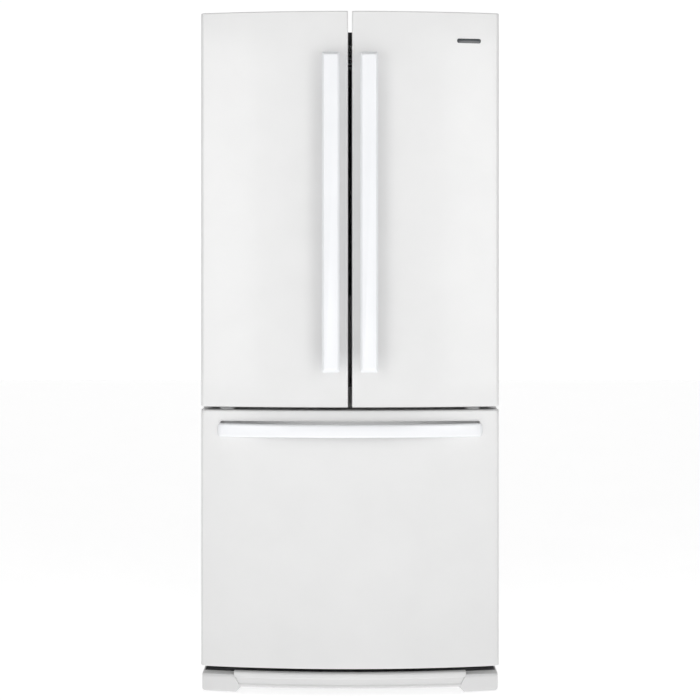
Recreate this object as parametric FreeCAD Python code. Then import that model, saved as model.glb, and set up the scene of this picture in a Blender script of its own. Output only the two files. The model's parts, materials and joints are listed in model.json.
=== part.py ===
"""French door refrigerator with a bottom freezer drawer, in millimetres.

X runs to the right as seen by someone facing the doors, Y runs from the doors to the back and Z is up.
The origin is on the floor, in the middle of the width and of the depth over the handles.
Every function below makes one sub-part. What sits on the left is made first and mirrored for the right.
"""

import FreeCAD
import Part
import math
import os

V = FreeCAD.Vector

# ---------------------------------------------------------------- driving dimensions
BODY_WIDTH = 750.0
HALF = BODY_WIDTH / 2
DEPTH = 862.0  # handle to rear panel
BACK_Y = DEPTH / 2
HANDLE_Y = -DEPTH / 2  # front of the door handles
HANDLE_REACH = 56.0  # how far the door handles stand out of the doors
CROWN_Y = HANDLE_Y + HANDLE_REACH  # front of the doors in the middle
CROWN = 26.5  # how much the doors bulge from corner to middle
DOOR_DEPTH = 59.5  # at the corner
DOOR_BACK_Y = CROWN_Y + CROWN + DOOR_DEPTH
GASKET_DEPTH = 14.0
FLANGE_Y = DOOR_BACK_Y + GASKET_DEPTH  # front of the cabinet

CABINET_TOP = 1684.0
CABINET_BOTTOM = 62.0
DOOR_TOP = 1716.0
DOOR_BOTTOM = 727.0
DRAWER_TOP = 719.0
DRAWER_BOTTOM = 75.0
DOOR_GAP = 10.0  # between the two doors

SHEET = 1.2  # painted steel
LINER = 2.0  # formed plastic
LINER_X = 327.0  # inner half width of both compartments
FRESH_Z = (769.0, 1650.0)
FREEZER_Z = (122.0, 679.0)
LINER_BACK_Y = BACK_Y - 66.0
STEP_Y = 140.0  # where the freezer floor rises over the machine bay
STEP_Z = 360.0
BAY_Y = 190.0
BAY_Z = 310.0
CLEAR = 0.3  # between moving pieces

CORNER_R = 9.0  # outer vertical corners of the doors
INNER_R = 5.0  # vertical corners at the gap between the doors
EDGE_R = 5.0  # top and bottom edges of the doors

HINGE_X = -361.0  # left door's axis
HINGE_Y = -305.0
PIN_R = 5.0
RUNNING = 0.05  # radial clearance of a pin in its bearing
BEARING_R = 9.0
BEARING_DEPTH = 26.0

RIDGE_X = (-321.0, -43.0)  # raised ridge round the inside of the left door
RIDGE_Z = (781.0, 1638.0)
RIDGE_WIDTH = 16.0
RIDGE_DEPTH = 49.0
RIDGE_Y = DOOR_BACK_Y + RIDGE_DEPTH

BIN_Z = {"lower": 800.0, "middle": 1085.0, "upper": 1370.0}
BIN_HEIGHT = {"lower": 135.0, "middle": 112.0, "upper": 100.0}
BIN_BACK_Y = -190.0
BIN_WALL = 2.5
LUG = 5.0

SHELF_FRONT_Y = -165.0
SHELF_BACK_Y = 338.0
SHELF_Z = {-1: (1165.0, 1420.0), 1: (1225.0, 1480.0)}  # left side, right side
GLASS = 4.0
CRISPER_COVER_Z = 1000.0
CRISPER_X = (-308.0, -8.0)
CRISPER_Z = (778.0, 968.0)

SLIDE_Z = 393.0  # centre of the freezer drawer's slides
FLIPPER_PIVOT = (-31.0, -262.0)

CROWN_RADIUS = (HALF**2 + CROWN**2) / (2 * CROWN)
CROWN_CENTRE_Y = CROWN_Y + CROWN_RADIUS

# base and machine bay
INLET_X, INLET_Z, INLET_R = -330.0, 268.0, 9.0
INLET_BORE_R = 4.5
ROLLER_X, ROLLER_Y, ROLLER_R = 330.0, 385.0, 22.0
AXLE_R = 4.0
FOOT_X, FOOT_Y, STEM_R = 318.0, -225.0, 6.0
TRAY_Z = 40.0
GRILLE_SETBACK = 12.0
GRILLE_Z = (21.5, 60.0)
COVER_Z = (8.0, 52.0)
SEAM_X = (292.0, 275.0)  # where the centre piece meets a foot cover, at its top and at its foot

# doors, as (x, x, z, z) and their vertical corners
LEFT_DOOR = (-HALF, -DOOR_GAP / 2, DOOR_BOTTOM, DOOR_TOP)
LEFT_CORNERS = (CORNER_R, INNER_R)
DRAWER = (-HALF, HALF, DRAWER_BOTTOM, DRAWER_TOP)
DRAWER_CORNERS = (CORNER_R, CORNER_R)

# door handles
HANDLE_X = -47.0
HANDLE_Z = (818.0, 1604.0)
HANDLE_HALF = 22.0
HANDLE_BEVEL = 6.0
HANDLE_END_BEVEL = 9.0
HANDLE_THICK = 17.0

# drawer handle and its finger pocket
POCKET_HALF = 327.0
POCKET_Z = (655.0, 694.0)
POCKET_DEPTH = 16.0
POCKET_WALL = 2.0
BOW_HALF = 332.0
BOW_Z = (652.5, 686.5)
BOW_REACH = 28.0  # how far the drawer's handle stands out in the middle
BOW_THICK = 14.0
BOW_END_PROUD = 7.0

# flipper mullion
FLIPPER_Z = (784.0, 1630.0)
KNUCKLE_Z = (860.0, 1207.0, 1554.0)
KNUCKLE_HALF = 10.0
KNUCKLE_PIN_R = 3.0
GUIDE_SWING = 30.0  # radius of the guide pin's path about the flipper's pivot
GUIDE_PIN_R = 5.0

# compartments
TRACK_X = (306.0, 60.0)
TRACK_Z = (1030.0, 1590.0)
EVAP_COVER_Y = 300.0
DRAWER_RIDGE = (-317.0, 317.0, 134.0, 667.0)
SLIDE_FRONT_Y = RIDGE_Y + 4

# cooling system
FAN_Z = 616.0
EVAP_FAN = (0.0, 319.0, FAN_Z)
EVAP_FAN_R = 44.0
COND_FAN = (52.0, 305.0, 135.0)
COND_FAN_R = 58.0
COMPRESSOR = (225.0, 300.0)


# ---------------------------------------------------------------- helpers
def box(x0, x1, y0, y1, z0, z1):
    return Part.makeBox(x1 - x0, y1 - y0, z1 - z0, V(x0, y0, z0))


def cylinder(x, y, z, radius, length, axis=V(0, 0, 1)):
    return Part.makeCylinder(radius, length, V(x, y, z), axis)


def mirrored(shape):
    return shape.mirror(V(0, 0, 0), V(1, 0, 0))


def both(shape):
    """A left-hand solid and its right-hand mirror image."""
    return [shape, mirrored(shape)]


def fused(shapes):
    whole = shapes[0]
    if len(shapes) > 1:
        whole = whole.multiFuse(shapes[1:])
    return whole.removeSplitter()


def polygon_prism(points, extrusion):
    """A prism over a closed outline of points, pushed along a vector."""
    wire = Part.makePolygon(list(points) + [points[0]])
    return Part.Face(wire).extrude(extrusion)


def near(a, b, tolerance=1e-4):
    return abs(a - b) < tolerance


def edges_in(shape, test):
    """Edges of which both ends and the middle pass the test."""
    chosen = []
    for edge in shape.Edges:
        middle = edge.valueAt((edge.FirstParameter + edge.LastParameter) / 2)
        points = [v.Point for v in edge.Vertexes] + [middle]
        if all(test(p) for p in points):
            chosen.append(edge)
    return chosen


def filleted(shape, radius, test):
    return shape.makeFillet(radius, edges_in(shape, test))


def rounded_box(x0, x1, y0, y1, z0, z1, radius, axis):
    """A box whose four edges along one axis are rounded."""
    whole = box(x0, x1, y0, y1, z0, z1)
    direction = {"x": V(1, 0, 0), "y": V(0, 1, 0), "z": V(0, 0, 1)}[axis]
    chosen = [
        e
        for e in whole.Edges
        if near(abs((e.Vertexes[1].Point - e.Vertexes[0].Point).normalize() * direction), 1)
    ]
    return whole.makeFillet(radius, chosen)


def pipe(points, radius, bend):
    """A round tube along straight runs joined by tangent arcs of one radius."""
    edges = []
    here = points[0]
    for before, corner, after in zip(points, points[1:], points[2:]):
        into = (corner - before).normalize()
        out = (after - corner).normalize()
        turn = into.getAngle(out)
        cut = bend * math.tan(turn / 2)
        start = corner - into * cut
        end = corner + out * cut
        inward = (out - into).normalize()
        centre = corner + inward * (bend / math.cos(turn / 2))
        middle = centre - inward * bend
        edges.append(Part.LineSegment(here, start).toShape())
        edges.append(Part.Arc(start, middle, end).toShape())
        here = end
    edges.append(Part.LineSegment(here, points[-1]).toShape())
    path = Part.Wire(edges)
    first = (points[1] - points[0]).normalize()
    ring = Part.Wire([Part.makeCircle(radius, points[0], first)])
    return path.makePipeShell([ring], True, False)


def export(name, shapes):
    """One STEP per node. A node may hold several separate solids."""
    solids = [solid for shape in shapes for solid in shape.Solids]
    for solid in solids:
        if not solid.isValid() or solid.Volume <= 0:
            print("BAD SOLID in", name, solid.isValid(), solid.Volume)
    Part.makeCompound(solids).exportStep(os.path.join("parts", name + ".step"))


def crown_y(x, inset=0.0):
    """Front surface of the doors at x, moved back by an inset."""
    return CROWN_CENTRE_Y - math.sqrt((CROWN_RADIUS - inset) ** 2 - x**2)


# ---------------------------------------------------------------- cabinet
def cabinet_shell():
    """Painted steel wrapper: sides, top, front flange with both openings, and floor ahead of the bay."""
    outer = box(-HALF, HALF, FLANGE_Y, BACK_Y, CABINET_BOTTOM, CABINET_TOP)
    outer = filleted(outer, 3.0, lambda p: near(abs(p.x), HALF) and near(p.z, CABINET_TOP))
    outer = filleted(outer, 2.0, lambda p: near(abs(p.x), HALF) and near(p.y, FLANGE_Y))
    inner = box(
        SHEET - HALF, HALF - SHEET, FLANGE_Y + SHEET, BACK_Y + 1, CABINET_BOTTOM + SHEET, CABINET_TOP - SHEET
    )
    mouth = LINER_X + LINER
    shell = outer.cut(inner)
    for low, high in (FRESH_Z, FREEZER_Z):
        shell = shell.cut(box(-mouth, mouth, FLANGE_Y - 1, FLANGE_Y + 5, low - LINER, high + LINER))
    return shell.cut(box(SHEET - HALF, HALF - SHEET, BAY_Y, BACK_Y + 1, CABINET_BOTTOM - 1, CABINET_BOTTOM + 3))


def cabinet_insulation():
    """Foam between shell and liners, as one slab per wall."""
    out, mouth = HALF - SHEET, LINER_X + LINER
    front, back = FLANGE_Y + SHEET, BACK_Y - 1
    floor, roof = CABINET_BOTTOM + SHEET, CABINET_TOP - SHEET
    liner_back = LINER_BACK_Y + LINER
    side = [
        box(-out, -mouth, front, back, BAY_Z, roof),
        box(-out, -mouth, front, BAY_Y, floor, BAY_Z),
    ]
    middle = [
        box(-mouth, mouth, front, back, FRESH_Z[1] + LINER, roof),
        box(-mouth, mouth, liner_back, back, FRESH_Z[0] - LINER, FRESH_Z[1] + LINER),
        box(-mouth, mouth, front, back, FREEZER_Z[1] + LINER, FRESH_Z[0] - LINER),
        box(-mouth, mouth, liner_back, back, STEP_Z - LINER, FREEZER_Z[1] + LINER),
        box(-mouth, mouth, STEP_Y + LINER, back, BAY_Z, STEP_Z - LINER),
        box(-mouth, mouth, STEP_Y + LINER, BAY_Y, floor, BAY_Z),
        box(-mouth, mouth, front, STEP_Y + LINER, floor, FREEZER_Z[0] - LINER),
    ]
    return side + [mirrored(s) for s in side] + middle


def fresh_food_liner():
    """Formed plastic box of the upper compartment, with a ledge each side for the crisper cover."""
    outer = box(
        -LINER_X - LINER, LINER_X + LINER, FLANGE_Y, LINER_BACK_Y + LINER, FRESH_Z[0] - LINER, FRESH_Z[1] + LINER
    )
    inner = box(-LINER_X, LINER_X, FLANGE_Y - 1, LINER_BACK_Y, FRESH_Z[0], FRESH_Z[1])
    inner = filleted(inner, 14.0, lambda p: p.y > FLANGE_Y and near(abs(p.x), LINER_X))
    liner = outer.cut(inner)
    ledge = box(-LINER_X, -LINER_X + 14, SHELF_FRONT_Y, 300, CRISPER_COVER_Z - 30, CRISPER_COVER_Z - 22)
    rail = box(-LINER_X, CRISPER_X[0] + 10, SHELF_FRONT_Y, 300, FRESH_Z[0], FRESH_Z[0] + 7)
    return fused([liner] + both(ledge) + both(rail))


def freezer_liner():
    """Formed plastic box of the lower compartment, with the step over the machine bay."""
    x, wall = LINER_X, LINER

    def profile(grow, front):
        back = LINER_BACK_Y + grow
        low, high = FREEZER_Z[0] - grow, FREEZER_Z[1] + grow
        points = [
            (front, low),
            (STEP_Y + grow, low),
            (STEP_Y + grow, STEP_Z - grow),
            (back, STEP_Z - grow),
            (back, high),
            (front, high),
        ]
        return polygon_prism([V(-x - grow, y, z) for y, z in points], V(2 * (x + grow), 0, 0))

    inner = profile(0, FLANGE_Y - 1)
    inner = filleted(inner, 12.0, lambda p: near(abs(p.x), LINER_X) and p.y > FLANGE_Y)
    return profile(wall, FLANGE_Y).cut(inner)


def rear_panel():
    """Steel back of the cabinet, and the roof, front wall and cheeks that line the machine bay."""
    x = HALF - SHEET
    back = box(-x, x, BACK_Y - 1, BACK_Y, BAY_Z, CABINET_TOP - SHEET)
    roof = box(-x, x, BAY_Y, BACK_Y - 1, BAY_Z - 1, BAY_Z)
    wall = box(-x, x, BAY_Y, BAY_Y + 1, CABINET_BOTTOM, BAY_Z - 1)
    cheek = box(-x, 1 - x, BAY_Y + 1, BACK_Y - 1, CABINET_BOTTOM, BAY_Z - 1)
    return [back, roof, wall] + both(cheek)


def machine_cover():
    """Vented cover over the back of the machine bay."""
    x, low, high = HALF - 3, 66.0, BAY_Z - 3
    cover = box(-x, x, BACK_Y - 3, BACK_Y - 1, low, high)
    slots = []
    for side in (-1, 1):
        for row in range(4):
            for column in range(7):
                cx = side * (70 + 38 * column)
                z = 110 + 42 * row
                slots.append(rounded_box(cx - 13, cx + 13, BACK_Y - 4, BACK_Y, z - 3, z + 3, 2.9, "y"))
    cover = cover.cut(Part.makeCompound(slots))
    return cover.cut(cylinder(INLET_X, BACK_Y - 5, INLET_Z, INLET_R, 6, V(0, 1, 0)))


def power_cord_inlet():
    """Flanged gland in the machine cover where the mains lead enters."""
    y = V(0, 1, 0)
    body = cylinder(INLET_X, BACK_Y - 18, INLET_Z, INLET_R, 17, y)
    flange = cylinder(INLET_X, BACK_Y - 1, INLET_Z, 14, 1, y)
    nut = cylinder(INLET_X, BACK_Y - 8, INLET_Z, 13, 5, y)
    bore = cylinder(INLET_X, BACK_Y - 19, INLET_Z, INLET_BORE_R, 20, y)
    return fused([body, flange, nut]).cut(bore)


# ---------------------------------------------------------------- base


def base_frame():
    """Side rails, rear compressor tray, front cross-member, foot brackets and roller forks with axles."""
    rail = box(-373, -345, -262, 415, 32, CABINET_BOTTOM).cut(box(-371, -344, -263, 416, 34, 60))
    bracket = box(-345, -292, -262, -196, 24, 32)
    gusset = box(-347, -345, -262, -196, 24, 60)
    thread = cylinder(-FOOT_X, FOOT_Y, 20, STEM_R + RUNNING, 20)
    forks = [
        box(x, x + 2, ROLLER_Y - 14, ROLLER_Y + 14, 12, CABINET_BOTTOM - 2)
        for x in (-ROLLER_X - 13, -ROLLER_X + 11)
    ]
    tie = box(-371, -317, ROLLER_Y - 14, ROLLER_Y + 14, CABINET_BOTTOM - 4, CABINET_BOTTOM - 2)
    axle = cylinder(-ROLLER_X - 15, ROLLER_Y, ROLLER_R, AXLE_R, 30, V(1, 0, 0))
    left = fused([rail, bracket, gusset] + forks + [tie, axle]).cut(thread)
    member = box(-345, 345, -262, -259, 22, 60)
    tray = box(-312, 312, BAY_Y + 5, 418, TRAY_Z, TRAY_Z + 2)
    lip = box(-312, 312, BAY_Y + 3, BAY_Y + 5, TRAY_Z, CABINET_BOTTOM)
    arm = box(-371, -312, BAY_Y + 5, 350, TRAY_Z, TRAY_Z + 2)
    whole = fused([left, mirrored(left), member, tray, lip, arm, mirrored(arm)])
    return whole


def rear_rollers():
    """Two plastic rollers with a rounded tread on the axles of the base frame."""
    x = V(1, 0, 0)
    wheel = cylinder(-ROLLER_X - 9, ROLLER_Y, ROLLER_R, ROLLER_R, 18, x)
    wheel = wheel.makeFillet(3.0, [e for e in wheel.Edges if e.Closed])
    for side in (-9.5, 6.5):
        groove = cylinder(-ROLLER_X + side, ROLLER_Y, ROLLER_R, 17, 3, x)
        wheel = wheel.cut(groove.cut(cylinder(-ROLLER_X + side, ROLLER_Y, ROLLER_R, 9, 3, x)))
    wheel = wheel.cut(cylinder(-ROLLER_X - 10, ROLLER_Y, ROLLER_R, AXLE_R + RUNNING, 20, x))
    return both(wheel)


def leveling_foot():
    """Left foot: a round pad, a hexagon for the spanner and a screwed stem."""
    pad = cylinder(-FOOT_X, FOOT_Y, 0, 19, 9)
    pad = filleted(pad, 2.0, lambda p: near(p.z, 9))
    corners = [
        V(-FOOT_X + 10 * math.cos(math.radians(60 * k)), FOOT_Y + 10 * math.sin(math.radians(60 * k)), 9)
        for k in range(6)
    ]
    nut = polygon_prism(corners, V(0, 0, 8))
    stem = cylinder(-FOOT_X, FOOT_Y, 17, STEM_R, 40)
    return fused([pad, nut, stem])


def swept_round_crown(profile, half_angle):
    """A closed profile of (depth behind the door's crown, z) swept along the curve of the doors."""
    points = [V(0, CROWN_Y + depth, z) for depth, z in profile]
    face = Part.Face(Part.makePolygon(points + [points[0]]))
    axis = V(0, CROWN_CENTRE_Y, 0)
    face.rotate(axis, V(0, 0, 1), -half_angle)
    return face.revolve(axis, V(0, 0, 1), 2 * half_angle)


def base_grille():
    """Curved toe grille: a centre piece, and a deeper cover over each front foot."""
    d = GRILLE_SETBACK
    low, high = GRILLE_Z
    centre_profile = [
        (d + 3, low),
        (d, low + 3),
        (d, low + 7),
        (d + 3, low + 10),
        (d + 3, high - 14),
        (d, high - 11),
        (d, high - 3),
        (d + 3, high),
        (d + 16, high),
        (d + 16, high - 2.5),
        (d + 5.5, high - 2.5),
        (d + 5.5, low + 2),
        (d + 12, low + 2),
        (d + 12, low),
    ]
    cover_low, cover_high = COVER_Z
    cover_profile = [
        (d + 3, cover_low),
        (d, cover_low + 3),
        (d, cover_high - 6),
        (d + 4, cover_high),
        (d + 30, cover_high),
        (d + 30, cover_high - 2.5),
        (d + 5.5, cover_high - 2.5),
        (d + 2.8, cover_high - 6),
        (d + 2.8, cover_low + 2.8),
        (d + 14, cover_low + 2.8),
        (d + 14, cover_low),
    ]
    half_angle = math.degrees(math.asin((HALF - 2) / (CROWN_RADIUS - d)))
    centre = swept_round_crown(centre_profile, half_angle)
    cover = swept_round_crown(cover_profile, half_angle)
    top, foot = SEAM_X
    far, near_y = -420.0, 300.0
    centre_window = polygon_prism(
        [
            V(-top + 0.4, far, high + 5),
            V(-top + 0.4, far, cover_high),
            V(-foot + 0.4, far, low),
            V(-foot + 0.4, far, low - 5),
            V(foot - 0.4, far, low - 5),
            V(foot - 0.4, far, low),
            V(top - 0.4, far, cover_high),
            V(top - 0.4, far, high + 5),
        ],
        V(0, near_y, 0),
    )
    cover_window = polygon_prism(
        [
            V(-HALF, far, cover_high + 5),
            V(-top, far, cover_high + 5),
            V(-top, far, cover_high),
            V(-foot, far, low),
            V(-foot - 12, far, cover_low),
            V(-HALF + 12, far, cover_low),
            V(-HALF + 5, far, cover_low + 3),
            V(-HALF + 2, far, cover_low + 11),
            V(-HALF + 2, far, cover_high),
            V(-HALF, far, cover_high),
        ],
        V(0, near_y, 0),
    )
    y = crown_y(HALF, GRILLE_SETBACK)
    cheek = box(-HALF + 2, -HALF + 4.5, y + 1, y + 62, cover_low + 11, cover_high - 0.5)
    toe = fused([cover.common(cover_window), cheek])
    return [centre.common(centre_window)] + both(toe)


# ---------------------------------------------------------------- doors
def door_block(x0, x1, z0, z1, inset, back, corners):
    """Crowned block of a door's outline, every face but the back moved in by an inset."""
    x0, x1, z0, z1 = x0 + inset, x1 - inset, z0 + inset, z1 - inset
    y0, y1 = crown_y(x0, inset), crown_y(x1, inset)
    middle = (x0 + x1) / 2
    edges = [
        Part.LineSegment(V(x0, back, z0), V(x0, y0, z0)).toShape(),
        Part.Arc(V(x0, y0, z0), V(middle, crown_y(middle, inset), z0), V(x1, y1, z0)).toShape(),
        Part.LineSegment(V(x1, y1, z0), V(x1, back, z0)).toShape(),
        Part.LineSegment(V(x1, back, z0), V(x0, back, z0)).toShape(),
    ]
    block = Part.Face(Part.Wire(edges)).extrude(V(0, 0, z1 - z0))
    for x, y, radius in ((x0, y0, corners[0]), (x1, y1, corners[1])):
        block = filleted(block, radius - inset, lambda p, x=x, y=y: near(p.x, x) and near(p.y, y))

    def on_rim(p):
        return (near(p.z, z0) or near(p.z, z1)) and p.y <= back + 1e-6

    rim = [e for e in edges_in(block, on_rim) if not all(near(v.Point.y, back) for v in e.Vertexes)]
    return block.makeFillet(EDGE_R - inset, rim)


def bearing_seats():
    """Where the left door's bearings sit: sockets in its top and bottom at the hinge axis."""
    return [
        cylinder(HINGE_X, HINGE_Y, DOOR_TOP - BEARING_DEPTH, BEARING_R, BEARING_DEPTH + 1),
        cylinder(HINGE_X, HINGE_Y, DOOR_BOTTOM - 1, BEARING_R, BEARING_DEPTH + 1),
    ]


def skin(outline, corners):
    """Painted steel front, sides and ends of a door, open at the back."""
    outer = door_block(*outline, 0.0, DOOR_BACK_Y, corners)
    return outer.cut(door_block(*outline, SHEET, DOOR_BACK_Y + 20, corners))


def ridge_ring(x0, x1, z0, z1, y0, y1, inset):
    """The ridge's volume: a rectangular ring between two depths, its walls moved in by an inset."""
    w = RIDGE_WIDTH - inset
    outer = box(x0 + inset, x1 - inset, y0, y1, z0 + inset, z1 - inset)
    return outer.cut(box(x0 + w, x1 - w, y0 - 1, y1 + 1, z0 + w, z1 - w))


def door_foam(outline, corners, ridge):
    """Foam core behind the skin, and a bar in each side of the liner's ridge."""
    core = door_block(*outline, SHEET, DOOR_BACK_Y - LINER, corners)
    x0, x1, z0, z1 = ridge
    a, b = LINER, RIDGE_WIDTH - LINER
    y0, y1 = DOOR_BACK_Y - LINER, RIDGE_Y - LINER
    bars = [
        box(x0 + a, x0 + b, y0, y1, z0 + a, z1 - a),
        box(x1 - b, x1 - a, y0, y1, z0 + a, z1 - a),
        box(x0 + b, x1 - b, y0, y1, z0 + a, z0 + b),
        box(x0 + b, x1 - b, y0, y1, z1 - b, z1 - a),
    ]
    return core, bars


def door_liner(outline, corners, ridge):
    """Formed plastic back of a door: a flat plate with a hollow ridge."""
    plate = door_block(*outline, SHEET, DOOR_BACK_Y, corners)
    plate = plate.common(box(-HALF, HALF, DOOR_BACK_Y - LINER, DOOR_BACK_Y, outline[2], outline[3]))
    ring = ridge_ring(*ridge, DOOR_BACK_Y - LINER, RIDGE_Y, 0)
    ring = filleted(ring, 4.0, lambda p: near(p.y, RIDGE_Y))
    hollow = ridge_ring(*ridge, DOOR_BACK_Y - LINER - 1, RIDGE_Y - LINER, LINER)
    return fused([plate, ring]).cut(hollow)


def bin_lugs():
    """Pairs of lugs inside the left door's ridge that the bins hang on."""
    lugs = []
    x0, x1 = RIDGE_X[0] + RIDGE_WIDTH, RIDGE_X[1] - RIDGE_WIDTH
    for z in BIN_Z.values():
        lugs.append(box(x0, x0 + LUG, -278, -262, z + 45, z + 70))
        lugs.append(box(x1 - LUG, x1, -278, -262, z + 45, z + 70))
    return lugs


def gasket(x0, x1, z0, z1):
    """Magnetic seal: a narrow root against the door and a wider bulb towards the cabinet."""
    root_y, bulb_y = DOOR_BACK_Y + 5, FLANGE_Y - 0.4
    root = box(x0 + 3, x1 - 3, DOOR_BACK_Y, root_y, z0 + 3, z1 - 3)
    root = root.cut(box(x0 + 14, x1 - 14, DOOR_BACK_Y - 1, root_y + 1, z0 + 14, z1 - 14))
    bulb = box(x0, x1, root_y, bulb_y, z0, z1)
    bulb = bulb.cut(box(x0 + 17, x1 - 17, root_y - 1, bulb_y + 1, z0 + 17, z1 - 17))
    return fused([root, bulb])


def door_handle():
    """Left handle: a long flat bar with bevelled flanks and a post at each end."""
    low, high = HANDLE_Z
    front, back = HANDLE_Y, HANDLE_Y + HANDLE_THICK
    flank = front + 11
    x, half, bevel, end = HANDLE_X, HANDLE_HALF, HANDLE_BEVEL, HANDLE_END_BEVEL

    def outline(y, side, top):
        points = [
            V(x - half + side, y, low + top),
            V(x + half - side, y, low + top),
            V(x + half - side, y, high - top),
            V(x - half + side, y, high - top),
        ]
        return Part.makePolygon(points + [points[0]])

    slab = Part.makeLoft([outline(flank, 0, 0), outline(front, bevel, end)], True, True)
    root = box(x - half, x + half, flank, back, low, high)
    bar = fused([slab, root])
    bar = filleted(bar, 2.5, lambda p: near(p.y, front))
    posts = []
    for z0, z1 in ((low + 4, low + 48), (high - 48, high - 4)):
        post = rounded_box(x - half + 4, x + half - 4, back - 2, CROWN_Y + 8, z0, z1, 5.0, "y")
        posts.append(post)
    handle = fused([bar] + posts)
    return handle.cut(door_block(*LEFT_DOOR, 0.0, DOOR_BACK_Y, LEFT_CORNERS))


def hinge_bearings():
    """The left door's top and bottom hinge bearings."""
    bearings = []
    for z, pin_z in (
        (DOOR_TOP - BEARING_DEPTH, DOOR_TOP - BEARING_DEPTH + 3),
        (DOOR_BOTTOM, DOOR_BOTTOM - 1),
    ):
        seat = cylinder(HINGE_X, HINGE_Y, z, BEARING_R, BEARING_DEPTH)
        bore = cylinder(HINGE_X, HINGE_Y, pin_z, PIN_R + RUNNING, BEARING_DEPTH - 2)
        bearings.append(seat.cut(bore))
    return bearings


def flipper_knuckles():
    """Three knuckles on the side of the left door's ridge that carry the flipper mullion on pins."""
    px, py = FLIPPER_PIVOT
    knuckles = []
    for z in KNUCKLE_Z:
        lug = box(RIDGE_X[1], px, py - 4, py + 4, z - KNUCKLE_HALF, z + KNUCKLE_HALF)
        eye = cylinder(px, py, z - KNUCKLE_HALF, 5, 2 * KNUCKLE_HALF)
        pin = cylinder(px, py, z - KNUCKLE_HALF - 8, KNUCKLE_PIN_R, 2 * KNUCKLE_HALF + 16)
        knuckles.append(fused([lug, eye, pin]))
    return knuckles


def flipper_mullion():
    """Folding bar that closes the gap between the doors, shown folded back beside the left door's ridge."""
    px, py = FLIPPER_PIVOT
    low, high = FLIPPER_Z
    bar = box(px - 9, px + 12.9, py - 4, py + 57, low, high)
    bar = filleted(bar, 3.5, lambda p: near(p.y, py - 4))
    bar = filleted(bar, 2.0, lambda p: near(p.y, py + 57))
    for z in KNUCKLE_Z:
        gap = KNUCKLE_HALF + 1
        bar = bar.cut(box(px - 20, px + 20, py - 10, py + 11, z - gap, z + gap))
        bar = bar.cut(cylinder(px, py, z - gap - 9, KNUCKLE_PIN_R + RUNNING, 2 * gap + 18))
    guide_pin = cylinder(px, py + GUIDE_SWING, high, GUIDE_PIN_R, FRESH_Z[1] - 6 - high)
    return fused([bar, guide_pin])


# ---------------------------------------------------------------- hinges
def top_hinge():
    """Left top hinge: a foot on the cabinet, a riser, and an arm over the door with a pin down into it."""
    z0, z1 = DOOR_TOP + 0.8, DOOR_TOP + 4.0
    foot_top = CABINET_TOP + 3.2
    foot = box(-369, -300, -272, -190, CABINET_TOP, foot_top)
    riser = box(-369, -300, -272, -268.8, CABINET_TOP, z1)
    arm = box(-369, HINGE_X + 8, HINGE_Y, -268.8, z0, z1)
    nose = cylinder(HINGE_X, HINGE_Y, z0, 8.5, z1 - z0)
    pin = cylinder(HINGE_X, HINGE_Y, DOOR_TOP - 21, PIN_R, 22)
    ribs = []
    for x in (-366, -306):
        profile = [V(x, -269, foot_top - 1), V(x, -228, foot_top - 1), V(x, -269, z1 - 4)]
        ribs.append(polygon_prism(profile, V(3, 0, 0)))
    bracket = fused([foot, riser, arm, nose, pin] + ribs)
    screws = []
    for x, y in ((-350, -250), (-318, -250), (-350, -212), (-318, -212)):
        screws.append(cylinder(x, y, foot_top, 6, 3.5))
    return [bracket] + screws


def top_hinge_cover():
    """Plastic cover over the left top hinge, sloping down to the front and to the back."""
    outer = [
        (-326, 1716.9),
        (-326, 1720),
        (-300, 1727),
        (-225, 1727),
        (-182, 1704),
        (-178, 1698),
        (-178, CABINET_TOP),
        (-273, CABINET_TOP),
        (-273, 1716.9),
    ]
    cavity = [
        (-324, 1716),
        (-324, 1719.2),
        (-299.6, 1725),
        (-225.6, 1725),
        (-183.8, 1702.6),
        (-180, 1697),
        (-180, CABINET_TOP - 1),
        (-324, CABINET_TOP - 1),
    ]
    shell = polygon_prism([V(-372, y, z) for y, z in outer], V(80, 0, 0))
    shell = filleted(shell, 4.0, lambda p: near(p.x, -292) and p.z > 1719.9)
    return shell.cut(polygon_prism([V(-370, y, z) for y, z in cavity], V(76, 0, 0)))


def center_hinge():
    """Left centre hinge: a leaf on the cabinet's cross rail and an arm with a pin up into the door."""
    leaf = box(-341, -290, FLANGE_Y - 4, FLANGE_Y, 715, 731)
    z0 = DRAWER_TOP + 0.8
    z1 = z0 + 4
    arm = polygon_prism(
        [
            V(-341, FLANGE_Y - 4, z0),
            V(-290, FLANGE_Y - 4, z0),
            V(-290, -323, z0),
            V(-294, -332, z0),
            V(-301, -335, z0),
            V(-320, -335, z0),
            V(-327, -332, z0),
            V(-331, -323, z0),
            V(-334, -301, z0),
            V(-352, -301, z0),
            V(-352, -288, z0),
        ],
        V(0, 0, z1 - z0),
    )
    nose = cylinder(HINGE_X, HINGE_Y, z0, 12, z1 - z0)
    collar = cylinder(HINGE_X, HINGE_Y, z1, BEARING_R, DOOR_BOTTOM - 0.5 - z1)
    pin = cylinder(HINGE_X, HINGE_Y, z1, PIN_R, 24)
    screws = [cylinder(x, FLANGE_Y - 4, 727.5, 2.8, 2, V(0, -1, 0)) for x in (-325, -306)]
    return [fused([leaf, arm, nose, collar, pin] + screws)]


# ---------------------------------------------------------------- fresh food fittings


def shelf_tracks():
    """Four slotted tracks up the back wall."""
    front = LINER_BACK_Y - 7
    tracks = []
    for x in TRACK_X:
        track = box(-x - 7, -x + 7, front, LINER_BACK_Y, *TRACK_Z)
        z = TRACK_Z[0] + 15
        slots = []
        while z < TRACK_Z[1] - 15:
            slots.append(box(-x - 2, -x + 2, front - 1, LINER_BACK_Y - 3, z, z + 12))
            z += 25
        tracks += both(track.cut(Part.makeCompound(slots)))
    return tracks


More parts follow.
